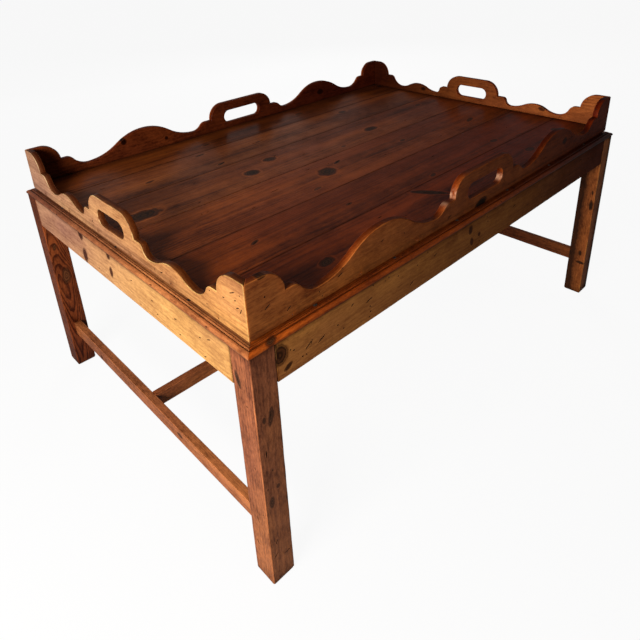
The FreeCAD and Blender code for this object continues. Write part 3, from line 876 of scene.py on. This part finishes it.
    def knotted(self, tone, knot, distance):
        """A knot over the wood: a stained halo, a ringed heart and a dark bark line round it."""
        graph, look, tint = self.graph, self.look, self.board.tint
        live = [a + (b - a) * knot.dark for a, b in zip(self.KNOT_LIVE, self.KNOT_DEAD)]
        halo = self.band(distance, *self.HALO)
        glow = self.band(distance, *(self.FLOOR_GLOW if self.board.finish == "tray_floor" else self.GLOW))
        core = 1.0 - graph.step(distance, 0.70, 1.0)
        bark = self.band(distance, *self.BARK) * knot.dark
        rings = graph.maths("SINE", distance * 15.0) * 0.5 + 0.5
        tone = graph.mix(glow, tone, opaque(look.pale, 1.25, tint))
        tone = graph.mix(halo, tone, opaque(look.dark, 0.8, tint))
        tone = graph.mix(core, tone, graph.mix(rings, opaque(live, 0.5), opaque(live, 1.7)))
        return graph.mix(bark, tone, opaque(self.KNOT_DEAD))

    def aged(self, tone):
        """Arrises rubbed pale, which also paints highlights, painted shade towards the board's high end, the
        inner face stained and partly painted shade, and painted glints on the handles' cut edges.
        """
        graph, board = self.graph, self.board
        rubbing = graph.step(self.figure("rubbing"), 0.34, 0.56)
        # Worn arrises are paled, which is real wear and also paints highlights on them, and the corner planes
        # add painted highlights
        worn_and_highlight = graph.maths("MINIMUM", self.wear * rubbing + self.nearness(board.painted_highlights), 1.0)
        tone = graph.mix(worn_and_highlight * 0.75, tone, opaque(self.look.pale, 1.7, board.tint))
        towards_end = self.along_board()
        # Painted shade: the light falls off towards the board's high end
        tone = graph.mix(towards_end, tone, rgba(board.far), "MULTIPLY")
        # The inner face's tint: stain, and partly painted shade
        if board.inside:
            near, far = board.inside
            stain = graph.mix(towards_end, rgba(near), rgba(far))
            tone = graph.mix(self.inner_half(), tone, stain, "MULTIPLY")
        # Painted glints: pale spots on the cut edges of the handles
        for glint in board.glints:
            along = (self.mm[board.along] - glint.along) / glint.reach
            across = (self.mm[board.across] - glint.across) / glint.reach
            glint_mask = graph.maths("EXPONENT", -(along * along + across * across))
            tone = graph.mix(glint_mask * self.edge * (rubbing * 0.8), tone, opaque(self.PAINTED_GLINT))
        return tone

    def dirt_and_shade(self):
        """How much dirt and painted shade lie on the surface: dark bands at the board's planes, in creases,
        joints and recesses, under the rim and in a shadow strip on one leg, or scattered dirt where a board
        has no planes.
        """
        broken = self.even_figure(*self.BROKEN) + 0.35
        if not self.board.dirt_and_shade_planes:
            return self.graph.step(broken, 1.0, 1.5) * 0.3
        return self.graph.maths("MINIMUM", self.nearness(self.board.dirt_and_shade_planes) * broken, 0.9)

    def paint(self):
        """The whole tree, and the material that it makes."""
        graph, look = self.graph, self.look
        ragged = (self.even_figure(*self.RAGGED) - 0.5) * 0.7
        found = [(knot, *self.knot_distance(knot, ragged)) for knot in self.board.knots]
        late = self.rings(found)
        streak, fibre = self.figure("streak"), self.figure("fibre")
        cloud = self.even_figure(*self.CLOUD)
        fleck = graph.step(self.figure("fleck"), 0.68, 0.76)
        tone = self.stained(late, streak, fibre, cloud, fleck)
        heart = 0.0
        for knot, distance, _, _ in found:
            tone = self.knotted(tone, knot, distance)
            heart = heart + (1.0 - graph.step(distance, 0.8, 1.05))
        dirt_and_shade = self.dirt_and_shade()
        # Dirt and painted shade darken the aged wood
        tone = graph.mix(dirt_and_shade, self.aged(tone), opaque(self.DIRT_AND_SHADE))
        roughness = (fibre - 0.5) * 0.12 + (cloud - 0.5) * 0.25 + dirt_and_shade * 0.2 - self.edge * 0.08
        coat = look.gloss * (1.0 - dirt_and_shade) if look.gloss > 0 else 0.0
        height = late * 0.04 + fibre * 0.05 + streak * 0.12 - fleck * 0.10 - heart * 0.06 + cloud * 0.30
        bump = graph.node("ShaderNodeBump", inputs={"Strength": 0.75, "Distance": MM, "Height": height})
        surface(graph, Base_Color=tone, Roughness=roughness + look.roughness, Coat_Weight=coat,
                Coat_Roughness=0.16, Specular_IOR_Level=0.04 + look.gloss * 0.7, Normal=bump)
        return self.material


def pit_material():
    """The rough inside of worm holes and splits, near black: dirt in them and painted shade."""
    material, graph = shader_graph("worm_pit")
    place = graph.node("ShaderNodeTexCoord", output="Object")
    speck = graph.noise(place, scale=900.0)
    tone = graph.mix(speck, rgba((0.010, 0.005, 0.003)), rgba((0.055, 0.026, 0.014)))
    bump = graph.node("ShaderNodeBump", inputs={"Strength": 0.5, "Distance": 0.2 * MM, "Height": speck})
    surface(graph, Base_Color=tone, Roughness=0.85, Specular_IOR_Level=0.1, Normal=bump)
    return material


def steel_material():
    """Dulled steel with rust in its hollows."""
    material, graph = shader_graph("dull_steel")
    place = graph.node("ShaderNodeTexCoord", output="Object")
    fine = graph.noise(place, 3.0, scale=1500.0)
    rust = graph.step(graph.noise(place, 3.0, scale=260.0), 0.50, 0.62)
    steel = graph.mix(fine, rgba((0.20, 0.19, 0.18)), rgba((0.42, 0.40, 0.37)))
    tone = graph.mix(rust, steel, rgba((0.12, 0.045, 0.018)))
    bump = graph.node("ShaderNodeBump", inputs={"Strength": 0.4, "Distance": 0.1 * MM, "Height": fine + rust})
    surface(graph, Base_Color=tone, Metallic=1.0 - rust, Roughness=0.38 + rust * 0.4, Normal=bump)
    return material


# The shape of a board

# Edges that are shorter than this, such as those of drilled holes, stay as they are
SHORTEST_ARRIS = 1.4 * MM
# How many times a metre the wear swings over the faces, and along the arrises broadly and finely
FACE_SWING = 9.0
ARRIS_SWING = 34.0
ARRIS_RIPPLE = 90.0
# How much the ripple counts, and how worn the least worn arris looks
RIPPLE_SHARE = 0.6
LEAST_WEAR = 0.35
# How far apart two boards lie in the noise of the wear
WEAR_STEP = (3.1, 1.7, 0.0)


def merged_copy(node):
    """The node's own closed shape, with its flat faces whole again."""
    mesh = bmesh.new()
    mesh.from_mesh(frame["nodes"][node].data)
    bmesh.ops.remove_doubles(mesh, verts=mesh.verts, dist=MERGE)
    bmesh.ops.dissolve_limit(mesh, angle_limit=FLAT, verts=mesh.verts, edges=mesh.edges)
    mesh.normal_update()
    return mesh


def soften(mesh, worn, width):
    """Round every outward arris but those of drilled holes, and note where the rounding is."""
    arrises = [
        edge for edge in mesh.edges
        if edge.is_convex and edge.calc_face_angle(0.0) > SHARP and edge.calc_length() > SHORTEST_ARRIS
    ]
    made = bmesh.ops.bevel(
        mesh, geom=arrises, offset=width, offset_type="OFFSET", segments=3, profile=0.5, affect="EDGES",
        clamp_overlap=False)
    rounded = set(made["faces"])
    for vertex in made["verts"]:
        if all(face in rounded for face in vertex.link_faces):
            vertex[worn] = 1.0


def slice_up(mesh, low, high, pitch):
    """Cut the faces into a grid, so that wear can move them."""
    for axis in range(3):
        span = high[axis] - low[axis]
        count = round(span / pitch)
        normal = Vector([float(i == axis) for i in range(3)])
        for i in range(1, count):
            point = normal * (low[axis] + span * i / count)
            parts = mesh.verts[:] + mesh.edges[:] + mesh.faces[:]
            bmesh.ops.bisect_plane(mesh, geom=parts, dist=MERGE, plane_co=point, plane_no=normal)


def weather(mesh, worn, wear, seed):
    """Take a little off every face, and more off the arrises where noise says so."""
    mesh.normal_update()
    start = Vector([step * seed for step in WEAR_STEP])
    for vertex in mesh.verts:
        slow = 0.5 + 0.5 * noise.noise(vertex.co * FACE_SWING + start)
        loss = wear.hollow * slow
        if vertex[worn] > 0.0:
            rough = noise.noise(vertex.co * ARRIS_SWING + start)
            rough += RIPPLE_SHARE * noise.noise(vertex.co * ARRIS_RIPPLE + start)
            loss += wear.bruise * max(0.0, rough) * min(1.0, vertex[worn])
            vertex[worn] = min(1.0, LEAST_WEAR + max(0.0, rough))
        vertex.co -= vertex.normal * loss


def grade_faces(mesh, board):
    """Note how far each face is a cut edge of the board, and how far it looks straight up."""
    edge, crown = (mesh.faces.layers.float[name] for name in ("edge", "crown"))
    along, across = AXES.index(board.along), AXES.index(board.across)
    narrow = 1.0 if board.finish == "gallery" else 0.0
    for face in mesh.faces:
        face[edge] = min(1.0, abs(face.normal[along]) + narrow * abs(face.normal[across]))
        face[crown] = max(0.0, face.normal.z) ** 4


def worn_mesh(board, seed, wear):
    """The board's solid as a worn mesh, which notes its wear, its cut edges and its crown."""
    mesh = merged_copy(board.node)
    worn = mesh.verts.layers.float.new("wear")
    for name in ("edge", "crown"):
        mesh.faces.layers.float.new(name)
    soften(mesh, worn, getattr(wear, board.arris))
    slice_up(mesh, *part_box(board.node), wear.grid)
    weather(mesh, worn, wear, seed)
    grade_faces(mesh, board)
    return plain_mesh(board.node + "_worn", mesh)


def plain_mesh(name, mesh):
    """Keep what was edited as an object's mesh, and free it."""
    data = bpy.data.meshes.new(name)
    mesh.to_mesh(data)
    mesh.free()
    return data


def body_of(node):
    """The body that a node belongs to."""
    for body, members in frame["record"]["behaviour"]["bodies"].items():
        if node in members:
            return body
    raise ValueError("no body holds " + node)


def new_piece(name, data):
    piece = bpy.data.objects.new(name, data)
    bpy.context.scene.collection.objects.link(piece)
    return piece


def settle(piece):
    """Put what the modifiers make in place of the piece's mesh, and take them off."""
    depsgraph = bpy.context.evaluated_depsgraph_get()
    evaluated = piece.evaluated_get(depsgraph)
    made = bpy.data.meshes.new_from_object(evaluated, preserve_all_data_layers=True, depsgraph=depsgraph)
    piece.modifiers.clear()
    spare = piece.data
    piece.data = made
    bpy.data.meshes.remove(spare)
    made.name = piece.name


class GeometryTree(Graph):
    """A Geometry Nodes tree with named inputs."""

    def __init__(self, name, sizes):
        super().__init__(bpy.data.node_groups.new(name, "GeometryNodeTree"))
        interface = self.tree.interface
        interface.new_socket("Geometry", in_out="INPUT", socket_type="NodeSocketGeometry")
        self.identifiers = {}
        for label, kind in sizes.items():
            socket = interface.new_socket(label, in_out="INPUT", socket_type="NodeSocket" + kind)
            self.identifiers[label] = socket.identifier
        interface.new_socket("Geometry", in_out="OUTPUT", socket_type="NodeSocketGeometry")
        self.entry = self.tree.nodes.new("NodeGroupInput")
        self.exit = self.tree.nodes.new("NodeGroupOutput")

    def given(self, label):
        return Value(self, self.entry.outputs[label])

    def give(self, geometry):
        """Hand the geometry out of the tree."""
        self.tree.links.new(geometry.socket, self.exit.inputs["Geometry"])

    def attribute(self, name, kind="FLOAT_VECTOR"):
        return self.node("GeometryNodeInputNamedAttribute", {"data_type": kind}, {"Name": name})

    def random(self, low, high, seed):
        inputs = {2: low, 3: high, "Seed": seed}
        return self.node("FunctionNodeRandomValue", {"data_type": "FLOAT"}, inputs, 1)

    def moved(self, geometry, z):
        inputs = {"Geometry": geometry, "Translation": self.vector(0.0, 0.0, z)}
        return self.node("GeometryNodeTransform", inputs=inputs)

    def joined(self, *parts):
        """One geometry from several."""
        join = self.tree.nodes.new("GeometryNodeJoinGeometry")
        for part in parts:
            self.tree.links.new(part.socket, join.inputs["Geometry"])
        return Value(self, join.outputs["Geometry"])

    def spun(self, rotation, angle):
        """A rotation turned first by an angle about its own upright axis."""
        inputs = {"Rotation": rotation, "Rotate By": self.vector(0.0, 0.0, angle)}
        return self.node("FunctionNodeRotateRotation", {"rotation_space": "LOCAL"}, inputs)

    def placed(self, points, instance, rotation, scale=(1.0, 1.0, 1.0)):
        """The instance at every point, turned and scaled there."""
        inputs = {"Points": points, "Instance": instance, "Rotation": rotation, "Scale": scale}
        return self.node("GeometryNodeInstanceOnPoints", inputs=inputs)

    def cone(self, sides, top, bottom, depth):
        inputs = {"Vertices": sides, "Radius Top": top, "Radius Bottom": bottom, "Depth": depth}
        return self.node("GeometryNodeMeshCone", inputs=inputs)

    def rod(self, sides, radius, depth):
        inputs = {"Vertices": sides, "Radius": radius, "Depth": depth}
        return self.node("GeometryNodeMeshCylinder", inputs=inputs)

    def less(self, whole, taken):
        """What is left of a geometry when another is taken out of it."""
        settings = {"operation": "DIFFERENCE", "solver": "MANIFOLD"}
        return self.node("GeometryNodeMeshBoolean", settings, {"Mesh 1": whole, "Mesh 2": taken})

    def realized(self, geometry):
        return self.node("GeometryNodeRealizeInstances", inputs={"Geometry": geometry})

    def painted(self, geometry, material, selection=True):
        inputs = {"Geometry": geometry, "Selection": selection, "Material": material}
        return self.node("GeometryNodeSetMaterial", inputs=inputs)

    def apply_to(self, piece, values):
        modifier = piece.modifiers.new(self.tree.name, "NODES")
        modifier.node_group = self.tree
        for label, value in values.items():
            modifier[self.identifiers[label]] = value


def marks_tree():
    """Small ellipsoids at chosen and at scattered places, taken out of a board."""
    tree = GeometryTree("worm_marks", {
        "Chosen": "Object", "Density": "Float", "Seed": "Int", "Length": "Float", "Width": "Float",
        "Depth": "Float", "Pit": "Material", "Wood": "Material",
    })
    board, seed = tree.given("Geometry"), tree.given("Seed")
    bit = tree.node("GeometryNodeMeshIcoSphere", inputs={"Radius": 0.5, "Subdivisions": 2})

    settings = {"transform_space": "ORIGINAL"}
    chosen = tree.node("GeometryNodeObjectInfo", settings, {"Object": tree.given("Chosen")}, "Geometry")
    picked = tree.placed(chosen, bit, tree.attribute("turn"), tree.attribute("size"))

    inputs = {"Mesh": board, "Density": tree.given("Density"), "Seed": seed}
    settings = {"distribute_method": "RANDOM"}
    scattered = tree.node("GeometryNodeDistributePointsOnFaces", settings, inputs, "Points")
    size = tree.vector(
        tree.given("Length") * tree.random(0.3, 1.0, seed + 1),
        tree.given("Width") * tree.random(0.5, 1.0, seed + 2),
        tree.given("Depth") * tree.random(0.8, 2.0, seed + 3),
    )
    turned = tree.spun(scattered.other("Rotation"), tree.random(0.0, MOST_TURN, seed + 4))
    loose = tree.placed(scattered, bit, turned, size)

    bits = tree.realized(tree.joined(picked, loose))
    settings = {"data_type": "FLOAT", "domain": "FACE"}
    inputs = {"Geometry": bits, "Name": "pit", "Value": 1.0}
    noted = tree.node("GeometryNodeStoreNamedAttribute", settings, inputs)
    cut = tree.less(board, noted)
    hard = tree.maths("GREATER_THAN", tree.node("GeometryNodeInputMeshEdgeAngle"), CREASE)
    inputs = {"Geometry": cut, "Selection": hard, "Shade Smooth": False}
    creased = tree.node("GeometryNodeSetShadeSmooth", {"domain": "EDGE"}, inputs)
    wooden = tree.painted(tree.realized(creased), tree.given("Wood"))
    inside = tree.maths("GREATER_THAN", tree.attribute("pit", "FLOAT"), 0.5)
    tree.give(tree.painted(wooden, tree.given("Pit"), inside))
    return tree


def facing_turn(side, turn):
    """The turn that lays a bit's length on a side of a board and its height outwards."""
    facing, sign, first, second = SIDES[side]
    unit = {axis: Vector([float(axis == other) for other in AXES]) for axis in AXES}
    run = unit[first] * math.cos(turn) + unit[second] * math.sin(turn)
    out = unit[facing] * sign
    return Matrix((run, out.cross(run), out)).transposed().to_euler()


def chosen_marks(board):
    """Points with a turn and a size for the marks that a board is known to have."""
    low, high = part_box(board.node)
    points, turns, sizes = [], [], []
    for mark in board.marks:
        facing, sign, first, second = SIDES[mark.side]
        plane = (high if sign > 0 else low)[AXES.index(facing)]
        place = {first: mark.u * MM, second: mark.v * MM, facing: plane}
        points.append([place[axis] for axis in AXES])
        turns.append(facing_turn(mark.side, mark.turn))
        sizes.append(Vector((mark.length, mark.width, 2 * mark.depth)) * MM)
    return point_cloud("marks_of_" + board.node, points, turn=turns, size=sizes)


def point_cloud(name, points, **vectors):
    """An object of loose vertices that carry these vectors."""
    mesh = bpy.data.meshes.new(name)
    mesh.from_pydata(points, [], [])
    for label, values in vectors.items():
        layer = mesh.attributes.new(label, "FLOAT_VECTOR", "POINT")
        for item, value in zip(layer.data, values):
            item.vector = tuple(value)
    return new_piece(name, mesh)


def make_board(board, seed, tree, pit):
    """One board: its node's shape, worn and marked, in its own finish."""
    settings = bpy.context.scene.tray_table
    wear = settings.wear
    piece = new_piece(board.node + "_worn", worn_mesh(board, seed, wear))
    piece.data.shade_smooth()
    wood = Pine(board, getattr(settings, board.finish), seed).paint()
    piece.data.materials.append(wood)
    cloud = chosen_marks(board)
    tree.apply_to(piece, {
        "Chosen": cloud, "Density": board.scatter, "Seed": seed, "Length": wear.mark_length,
        "Width": wear.mark_width, "Depth": wear.mark_depth, "Pit": pit, "Wood": wood,
    })
    normals = piece.modifiers.new("weighted_normals", "WEIGHTED_NORMAL")
    normals.keep_sharp = True
    settle(piece)
    spare = cloud.data
    bpy.data.objects.remove(cloud)
    bpy.data.meshes.remove(spare)
    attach(piece, body_of(board.node))
    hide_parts(board.node)
    "pine_" + board.finish


def make_boards(boards):
    """Every board of a group, each with a seed of its own."""
    tree = shared("worm_marks", marks_tree)
    pit = shared("worm_pit", pit_material)
    for board in boards:
        make_board(board, ALL_BOARDS.index(board) + 1, tree, pit)


made_once = {}


def shared(name, make):
    """A tree or material that several operators use, made the first time it is asked for."""
    if name not in made_once:
        made_once[name] = make()
    return made_once[name]


# The fixings

HEAD_SIDES = 28
SHANK_SIDES = 14
BRAD_SIDES = 12
THREAD_TURNS = 7.0
# Shares of a screw's length: its point and its thread
POINT_SHARE = 0.22
THREAD_SHARE = 0.62
# Shares of its shank's radius: the core between the threads, the tip, and the thread's path at both ends
CORE_SHARE = 0.82
TIP_SHARE = 0.08
THREAD_TIP_SHARE = 0.30
THREAD_TOP_SHARE = 0.80
# Shares of a brad's radius: how far its head is crowned, and how wide the crown's flat is
CROWN_SHARE = 0.3
CROWN_FLAT_SHARE = 0.6


def screw_tree():
    """Slotted countersunk screws, one at each point, each turned its own way."""
    tree = GeometryTree("slotted_screws", {
        "Head Diameter": "Float", "Head Depth": "Float", "Shank Diameter": "Float", "Thread Rise": "Float",
        "Slot Width": "Float", "Slot Depth": "Float", "Length": "Float", "Seed": "Int", "Steel": "Material",
    })
    head, depth, total = tree.given("Head Diameter"), tree.given("Head Depth"), tree.given("Length")
    shank = tree.given("Shank Diameter") * 0.5
    core, point = shank * CORE_SHARE, total * POINT_SHARE
    reach = total - depth - point
    slot = tree.node("GeometryNodeMeshCube", inputs={
        "Size": tree.vector(head * 1.4, tree.given("Slot Width"), tree.given("Slot Depth") * 2.0)})
    top = tree.less(tree.moved(tree.cone(HEAD_SIDES, head * 0.5, shank, depth), -depth), slot)
    rod = tree.moved(tree.rod(SHANK_SIDES, core, reach), -(depth + reach * 0.5))
    tip = tree.moved(tree.cone(SHANK_SIDES, core, shank * TIP_SHARE, point), -total)
    coil = tree.node("GeometryNodeCurveSpiral", inputs={
        "Resolution": 12, "Rotations": THREAD_TURNS, "Start Radius": shank * THREAD_TIP_SHARE,
        "End Radius": shank * THREAD_TOP_SHARE, "Height": total * THREAD_SHARE})
    ridge = tree.node("GeometryNodeCurvePrimitiveCircle", inputs={
        "Resolution": 3, "Radius": tree.given("Thread Rise")})
    thread = tree.node("GeometryNodeCurveToMesh", inputs={
        "Curve": tree.moved(coil, -total), "Profile Curve": ridge, "Fill Caps": True})
    turn = tree.spun(tree.attribute("turn"), tree.random(0.0, MOST_TURN, tree.given("Seed")))
    screws = tree.placed(tree.given("Geometry"), tree.joined(top, rod, tip, thread), turn)
    tree.give(tree.painted(tree.realized(screws), tree.given("Steel")))
    return tree


def brad_tree():
    """Round brads, one at each point, with a slightly crowned head."""
    tree = GeometryTree("round_brads", {"Diameter": "Float", "Length": "Float", "Steel": "Material"})
    radius, total = tree.given("Diameter") * 0.5, tree.given("Length")
    crown = radius * CROWN_SHARE
    shank = total - crown * 2.0
    rod = tree.moved(tree.rod(BRAD_SIDES, radius, shank), -(crown * 2.0 + shank * 0.5))
    cap = tree.moved(tree.cone(BRAD_SIDES, radius * CROWN_FLAT_SHARE, radius, crown), -crown * 2.0)
    brads = tree.placed(tree.given("Geometry"), tree.joined(rod, cap), tree.attribute("turn"))
    tree.give(tree.painted(tree.realized(brads), tree.given("Steel")))
    return tree


def islands(mesh):
    """The points of each separate solid in a mesh."""
    seen = set()
    for start in mesh.verts:
        if start in seen:
            continue
        island, queue = [], [start]
        seen.add(start)
        while queue:
            vertex = queue.pop()
            island.append(vertex.co.copy())
            for edge in vertex.link_edges:
                neighbour = edge.other_vert(vertex)
                if neighbour not in seen:
                    seen.add(neighbour)
                    queue.append(neighbour)
        yield island


def fixing_places(node, outward):
    """Head, outward turn and length of every solid of a node of fixings."""
    mesh = merged_copy(node)
    places = []
    for island in islands(mesh):
        low = Vector([min(point[i] for point in island) for i in range(3)])
        high = Vector([max(point[i] for point in island) for i in range(3)])
        middle, size = (low + high) / 2, high - low
        axis = max(range(3), key=lambda i: size[i])
        direction = outward(middle, axis)
        head = middle + direction * size[axis] / 2
        places.append((head, direction.to_track_quat("Z", "Y").to_euler(), size[axis]))
    mesh.free()
    return places


def upwards(middle, axis):
    return Vector((0.0, 0.0, 1.0))


def downwards(middle, axis):
    return Vector((0.0, 0.0, -1.0))


def away_from_middle(middle, axis):
    return Vector([math.copysign(1.0, middle[i]) if i == axis else 0.0 for i in range(3)])


def make_fixings(node, outward, tree, values):
    """All the solids of one node of fixings as one piece."""
    points, turns, lengths = zip(*fixing_places(node, outward))
    piece = point_cloud(node + "_turned", points, turn=turns)
    tree.apply_to(piece, {**values, "Length": lengths[0]})
    settle(piece)
    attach(piece, body_of(node))
    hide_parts(node)


# The stage, in metres

# Each lamp's place, aim, size and colour, and whether it leaves a sheen
LAMPS = {
    "window": ((-1.80, -0.60, 0.88), (-0.45, -0.15, 0.42), (0.9, 0.6), (1.0, 0.97, 0.93), True),
    "fill": ((2.4, 2.6, 1.9), (0.0, 0.0, 0.40), (2.0, 1.6), WHITE, False),
    "backlight": ((1.1, 3.1, 0.85), (0.0, 0.0, 0.48), (3.2, 1.2), WHITE, True),
}
# The camera's place, and its turns about the three axes in degrees
CAMERA_PLACE = (-0.9074, -0.8992, 0.9528)
CAMERA_TURNS = (66.049, 2.327, -44.052)
SENSOR_WIDTH = 36.0
# The floor reaches past all that the camera sees, and lies just clear of the feet
GROUND_RADIUS = 40.0
GROUND_GAP = 0.0005
# How pale the floor is to the camera, how much of it glows there, and how much of that is mirrored
GROUND_PALE = (0.9, 0.9, 0.9)
GROUND_GLOW = 0.93
MIRRORED = 0.05


def stage_floor():
    """A wide pale floor that keeps the table's shadow."""
    mesh = bmesh.new()
    bmesh.ops.create_circle(mesh, cap_ends=True, segments=64, radius=GROUND_RADIUS)
    ground = new_piece("ground", plain_mesh("ground", mesh))
    ground.location.z = -GROUND_GAP
    ground.data.materials.append(ground_material())


def seen_directly(graph):
    """One for the camera's own rays and those through glass, and a little for mirrored ones."""
    path = graph.node("ShaderNodeLightPath", output="Is Camera Ray")
    shown = path + path.other("Is Glossy Ray") * MIRRORED + path.other("Is Transmission Ray")
    return graph.maths("MINIMUM", shown, 1.0)


def ground_material():
    """Matt and grey to the light, so that little bounces back, and pale to the camera."""
    stage = bpy.context.scene.tray_table.stage
    material, graph = shader_graph("ground")
    shown = graph.node("ShaderNodeLightPath", output="Is Camera Ray")
    tone = graph.mix(shown, opaque(stage.ground), opaque(GROUND_PALE))
    matt = graph.node("ShaderNodeBsdfDiffuse", inputs={"Color": tone})
    bright = graph.node("ShaderNodeEmission", inputs={"Color": opaque(WHITE), "Strength": 1.0})
    glow = seen_directly(graph) * GROUND_GLOW
    both = graph.node("ShaderNodeMixShader", inputs={0: glow, 1: matt, 2: bright})
    graph.node("ShaderNodeOutputMaterial", inputs={"Surface": both})
    return material


def stage_world():
    """Even soft light from all around, with a white background for what shows it."""
    stage = bpy.context.scene.tray_table.stage
    world = bpy.data.worlds.new("studio")
    world.use_nodes = True
    world.node_tree.nodes.clear()
    graph = Graph(world.node_tree)
    level = seen_directly(graph) * (1.0 - stage.ambient) + stage.ambient
    sky = graph.node("ShaderNodeBackground", inputs={"Color": opaque(WHITE), "Strength": level})
    graph.node("ShaderNodeOutputWorld", inputs={"Surface": sky})
    bpy.context.scene.world = world


def stage_lamp(name, place, aim, size, tone, sheen):
    """A soft lamp that the camera doesn't see, at the power that the settings give it."""
    data = bpy.data.lights.new(name, "AREA")
    data.shape = "RECTANGLE"
    data.size, data.size_y = size
    data.energy = getattr(bpy.context.scene.tray_table.stage, name)
    data.color = tone
    lamp = new_piece(name, data)
    lamp.location = place
    lamp.rotation_euler = (Vector(aim) - Vector(place)).to_track_quat("-Z", "Y").to_euler()
    lamp.visible_camera = False
    lamp.visible_glossy = sheen


def stage_camera():
    """The photograph's own viewpoint."""
    stage = bpy.context.scene.tray_table.stage
    data = bpy.data.cameras.new("camera")
    data.sensor_width = SENSOR_WIDTH
    data.lens = stage.lens
    data.shift_y = stage.rise
    data.clip_start, data.clip_end = 0.01, 5 * GROUND_RADIUS
    camera = new_piece("camera", data)
    camera.location = CAMERA_PLACE
    camera.rotation_euler = Euler([math.radians(turn) for turn in CAMERA_TURNS], "XYZ")
    bpy.context.scene.camera = camera


# Operators, one for each group of like pieces and one for the stage

class TRAYTABLE_OT_legs(bpy.types.Operator):
    """Finish the four square legs"""
    bl_idname = "tray_table.legs"
    bl_label = "Legs"

    def execute(self, context):
        make_boards(LEGS)
        return {"FINISHED"}


class TRAYTABLE_OT_aprons(bpy.types.Operator):
    """Finish the four aprons under the rim"""
    bl_idname = "tray_table.aprons"
    bl_label = "Aprons"

    def execute(self, context):
        make_boards(APRONS)
        return {"FINISHED"}


class TRAYTABLE_OT_stretchers(bpy.types.Operator):
    """Finish the two end stretchers and the one between them"""
    bl_idname = "tray_table.stretchers"
    bl_label = "Stretchers"

    def execute(self, context):
        make_boards(STRETCHERS)
        return {"FINISHED"}


class TRAYTABLE_OT_rim(bpy.types.Operator):
    """Finish the moulded rim that the tray stands on"""
    bl_idname = "tray_table.rim"
    bl_label = "Moulded rim"

    def execute(self, context):
        make_boards(RIM)
        return {"FINISHED"}


class TRAYTABLE_OT_floor_boards(bpy.types.Operator):
    """Finish the six boards of the tray's floor"""
    bl_idname = "tray_table.floor_boards"
    bl_label = "Tray floor"

    def execute(self, context):
        make_boards(FLOOR)
        return {"FINISHED"}


class TRAYTABLE_OT_gallery(bpy.types.Operator):
    """Finish the four scalloped boards round the tray"""
    bl_idname = "tray_table.gallery"
    bl_label = "Gallery"

    def execute(self, context):
        make_boards(GALLERY)
        return {"FINISHED"}


class TRAYTABLE_OT_battens(bpy.types.Operator):
    """Finish the battens under the tray and the bearer across the stand"""
    bl_idname = "tray_table.battens"
    bl_label = "Battens and bearer"

    def execute(self, context):
        make_boards(HIDDEN)
        return {"FINISHED"}


class TRAYTABLE_OT_screws(bpy.types.Operator):
    """Make the screws of the rim and of the battens"""
    bl_idname = "tray_table.screws"
    bl_label = "Screws"

    def execute(self, context):
        sizes = context.scene.tray_table.fixings
        tree = shared("slotted_screws", screw_tree)
        values = {
            "Head Diameter": sizes.head_diameter, "Head Depth": sizes.head_depth,
            "Shank Diameter": sizes.shank_diameter, "Thread Rise": sizes.thread_rise,
            "Slot Width": sizes.slot_width, "Slot Depth": sizes.slot_depth, "Seed": 5,
            "Steel": shared("dull_steel", steel_material),
        }
        make_fixings("rim_screws", upwards, tree, values)
        make_fixings("batten_screws", downwards, tree, values)
        return {"FINISHED"}


class TRAYTABLE_OT_brads(bpy.types.Operator):
    """Make the brads that hold the gallery to the tray's floor"""
    bl_idname = "tray_table.brads"
    bl_label = "Brads"

    def execute(self, context):
        sizes = context.scene.tray_table.fixings
        tree = shared("round_brads", brad_tree)
        values = {"Diameter": sizes.brad_diameter, "Steel": shared("dull_steel", steel_material)}
        make_fixings("gallery_brads", away_from_middle, tree, values)
        return {"FINISHED"}


class TRAYTABLE_OT_stage(bpy.types.Operator):
    """Set the floor, the lamps and the camera"""
    bl_idname = "tray_table.stage"
    bl_label = "Stage"

    def execute(self, context):
        stage_floor()
        stage_world()
        for name, placing in LAMPS.items():
            stage_lamp(name, *placing)
        stage_camera()
        context.scene.view_settings.view_transform = "Standard"
        return {"FINISHED"}


class TRAYTABLE_PT_panel(bpy.types.Panel):
    """Buttons for every group of pieces, and their settings"""
    bl_idname = "TRAYTABLE_PT_panel"
    bl_label = "Tray-top coffee table"
    bl_space_type = "VIEW_3D"
    bl_region_type = "UI"
    bl_category = "Tray Table"

    def draw(self, context):
        for operator in OPERATORS:
            self.layout.operator(operator.bl_idname)
        settings = context.scene.tray_table
        for name in [*FINISHES, "wear", "fixings", "stage"]:
            box = self.layout.box()
            box.label(text=name.replace("_", " ").capitalize())
            group = getattr(settings, name)
            for field in group.__annotations__:
                box.prop(group, field)


OPERATORS = (
    TRAYTABLE_OT_legs, TRAYTABLE_OT_aprons, TRAYTABLE_OT_stretchers, TRAYTABLE_OT_rim,
    TRAYTABLE_OT_floor_boards, TRAYTABLE_OT_gallery, TRAYTABLE_OT_battens, TRAYTABLE_OT_screws,
    TRAYTABLE_OT_brads, TRAYTABLE_OT_stage,
)
CLASSES = (*FINISHES.values(), WearSettings, FixingSettings, StageSettings, TableSettings, *OPERATORS,
           TRAYTABLE_PT_panel)


def register():
    for entry in CLASSES:
        bpy.utils.register_class(entry)
    bpy.types.Scene.tray_table = bpy.props.PointerProperty(type=TableSettings)


def unregister():
    del bpy.types.Scene.tray_table
    for entry in reversed(CLASSES):
        bpy.utils.unregister_class(entry)


def main():
    register()
    for operator in OPERATORS:
        group, name = operator.bl_idname.split(".")
        getattr(getattr(bpy.ops, group), name)()


if __name__ == "__main__":
    main()
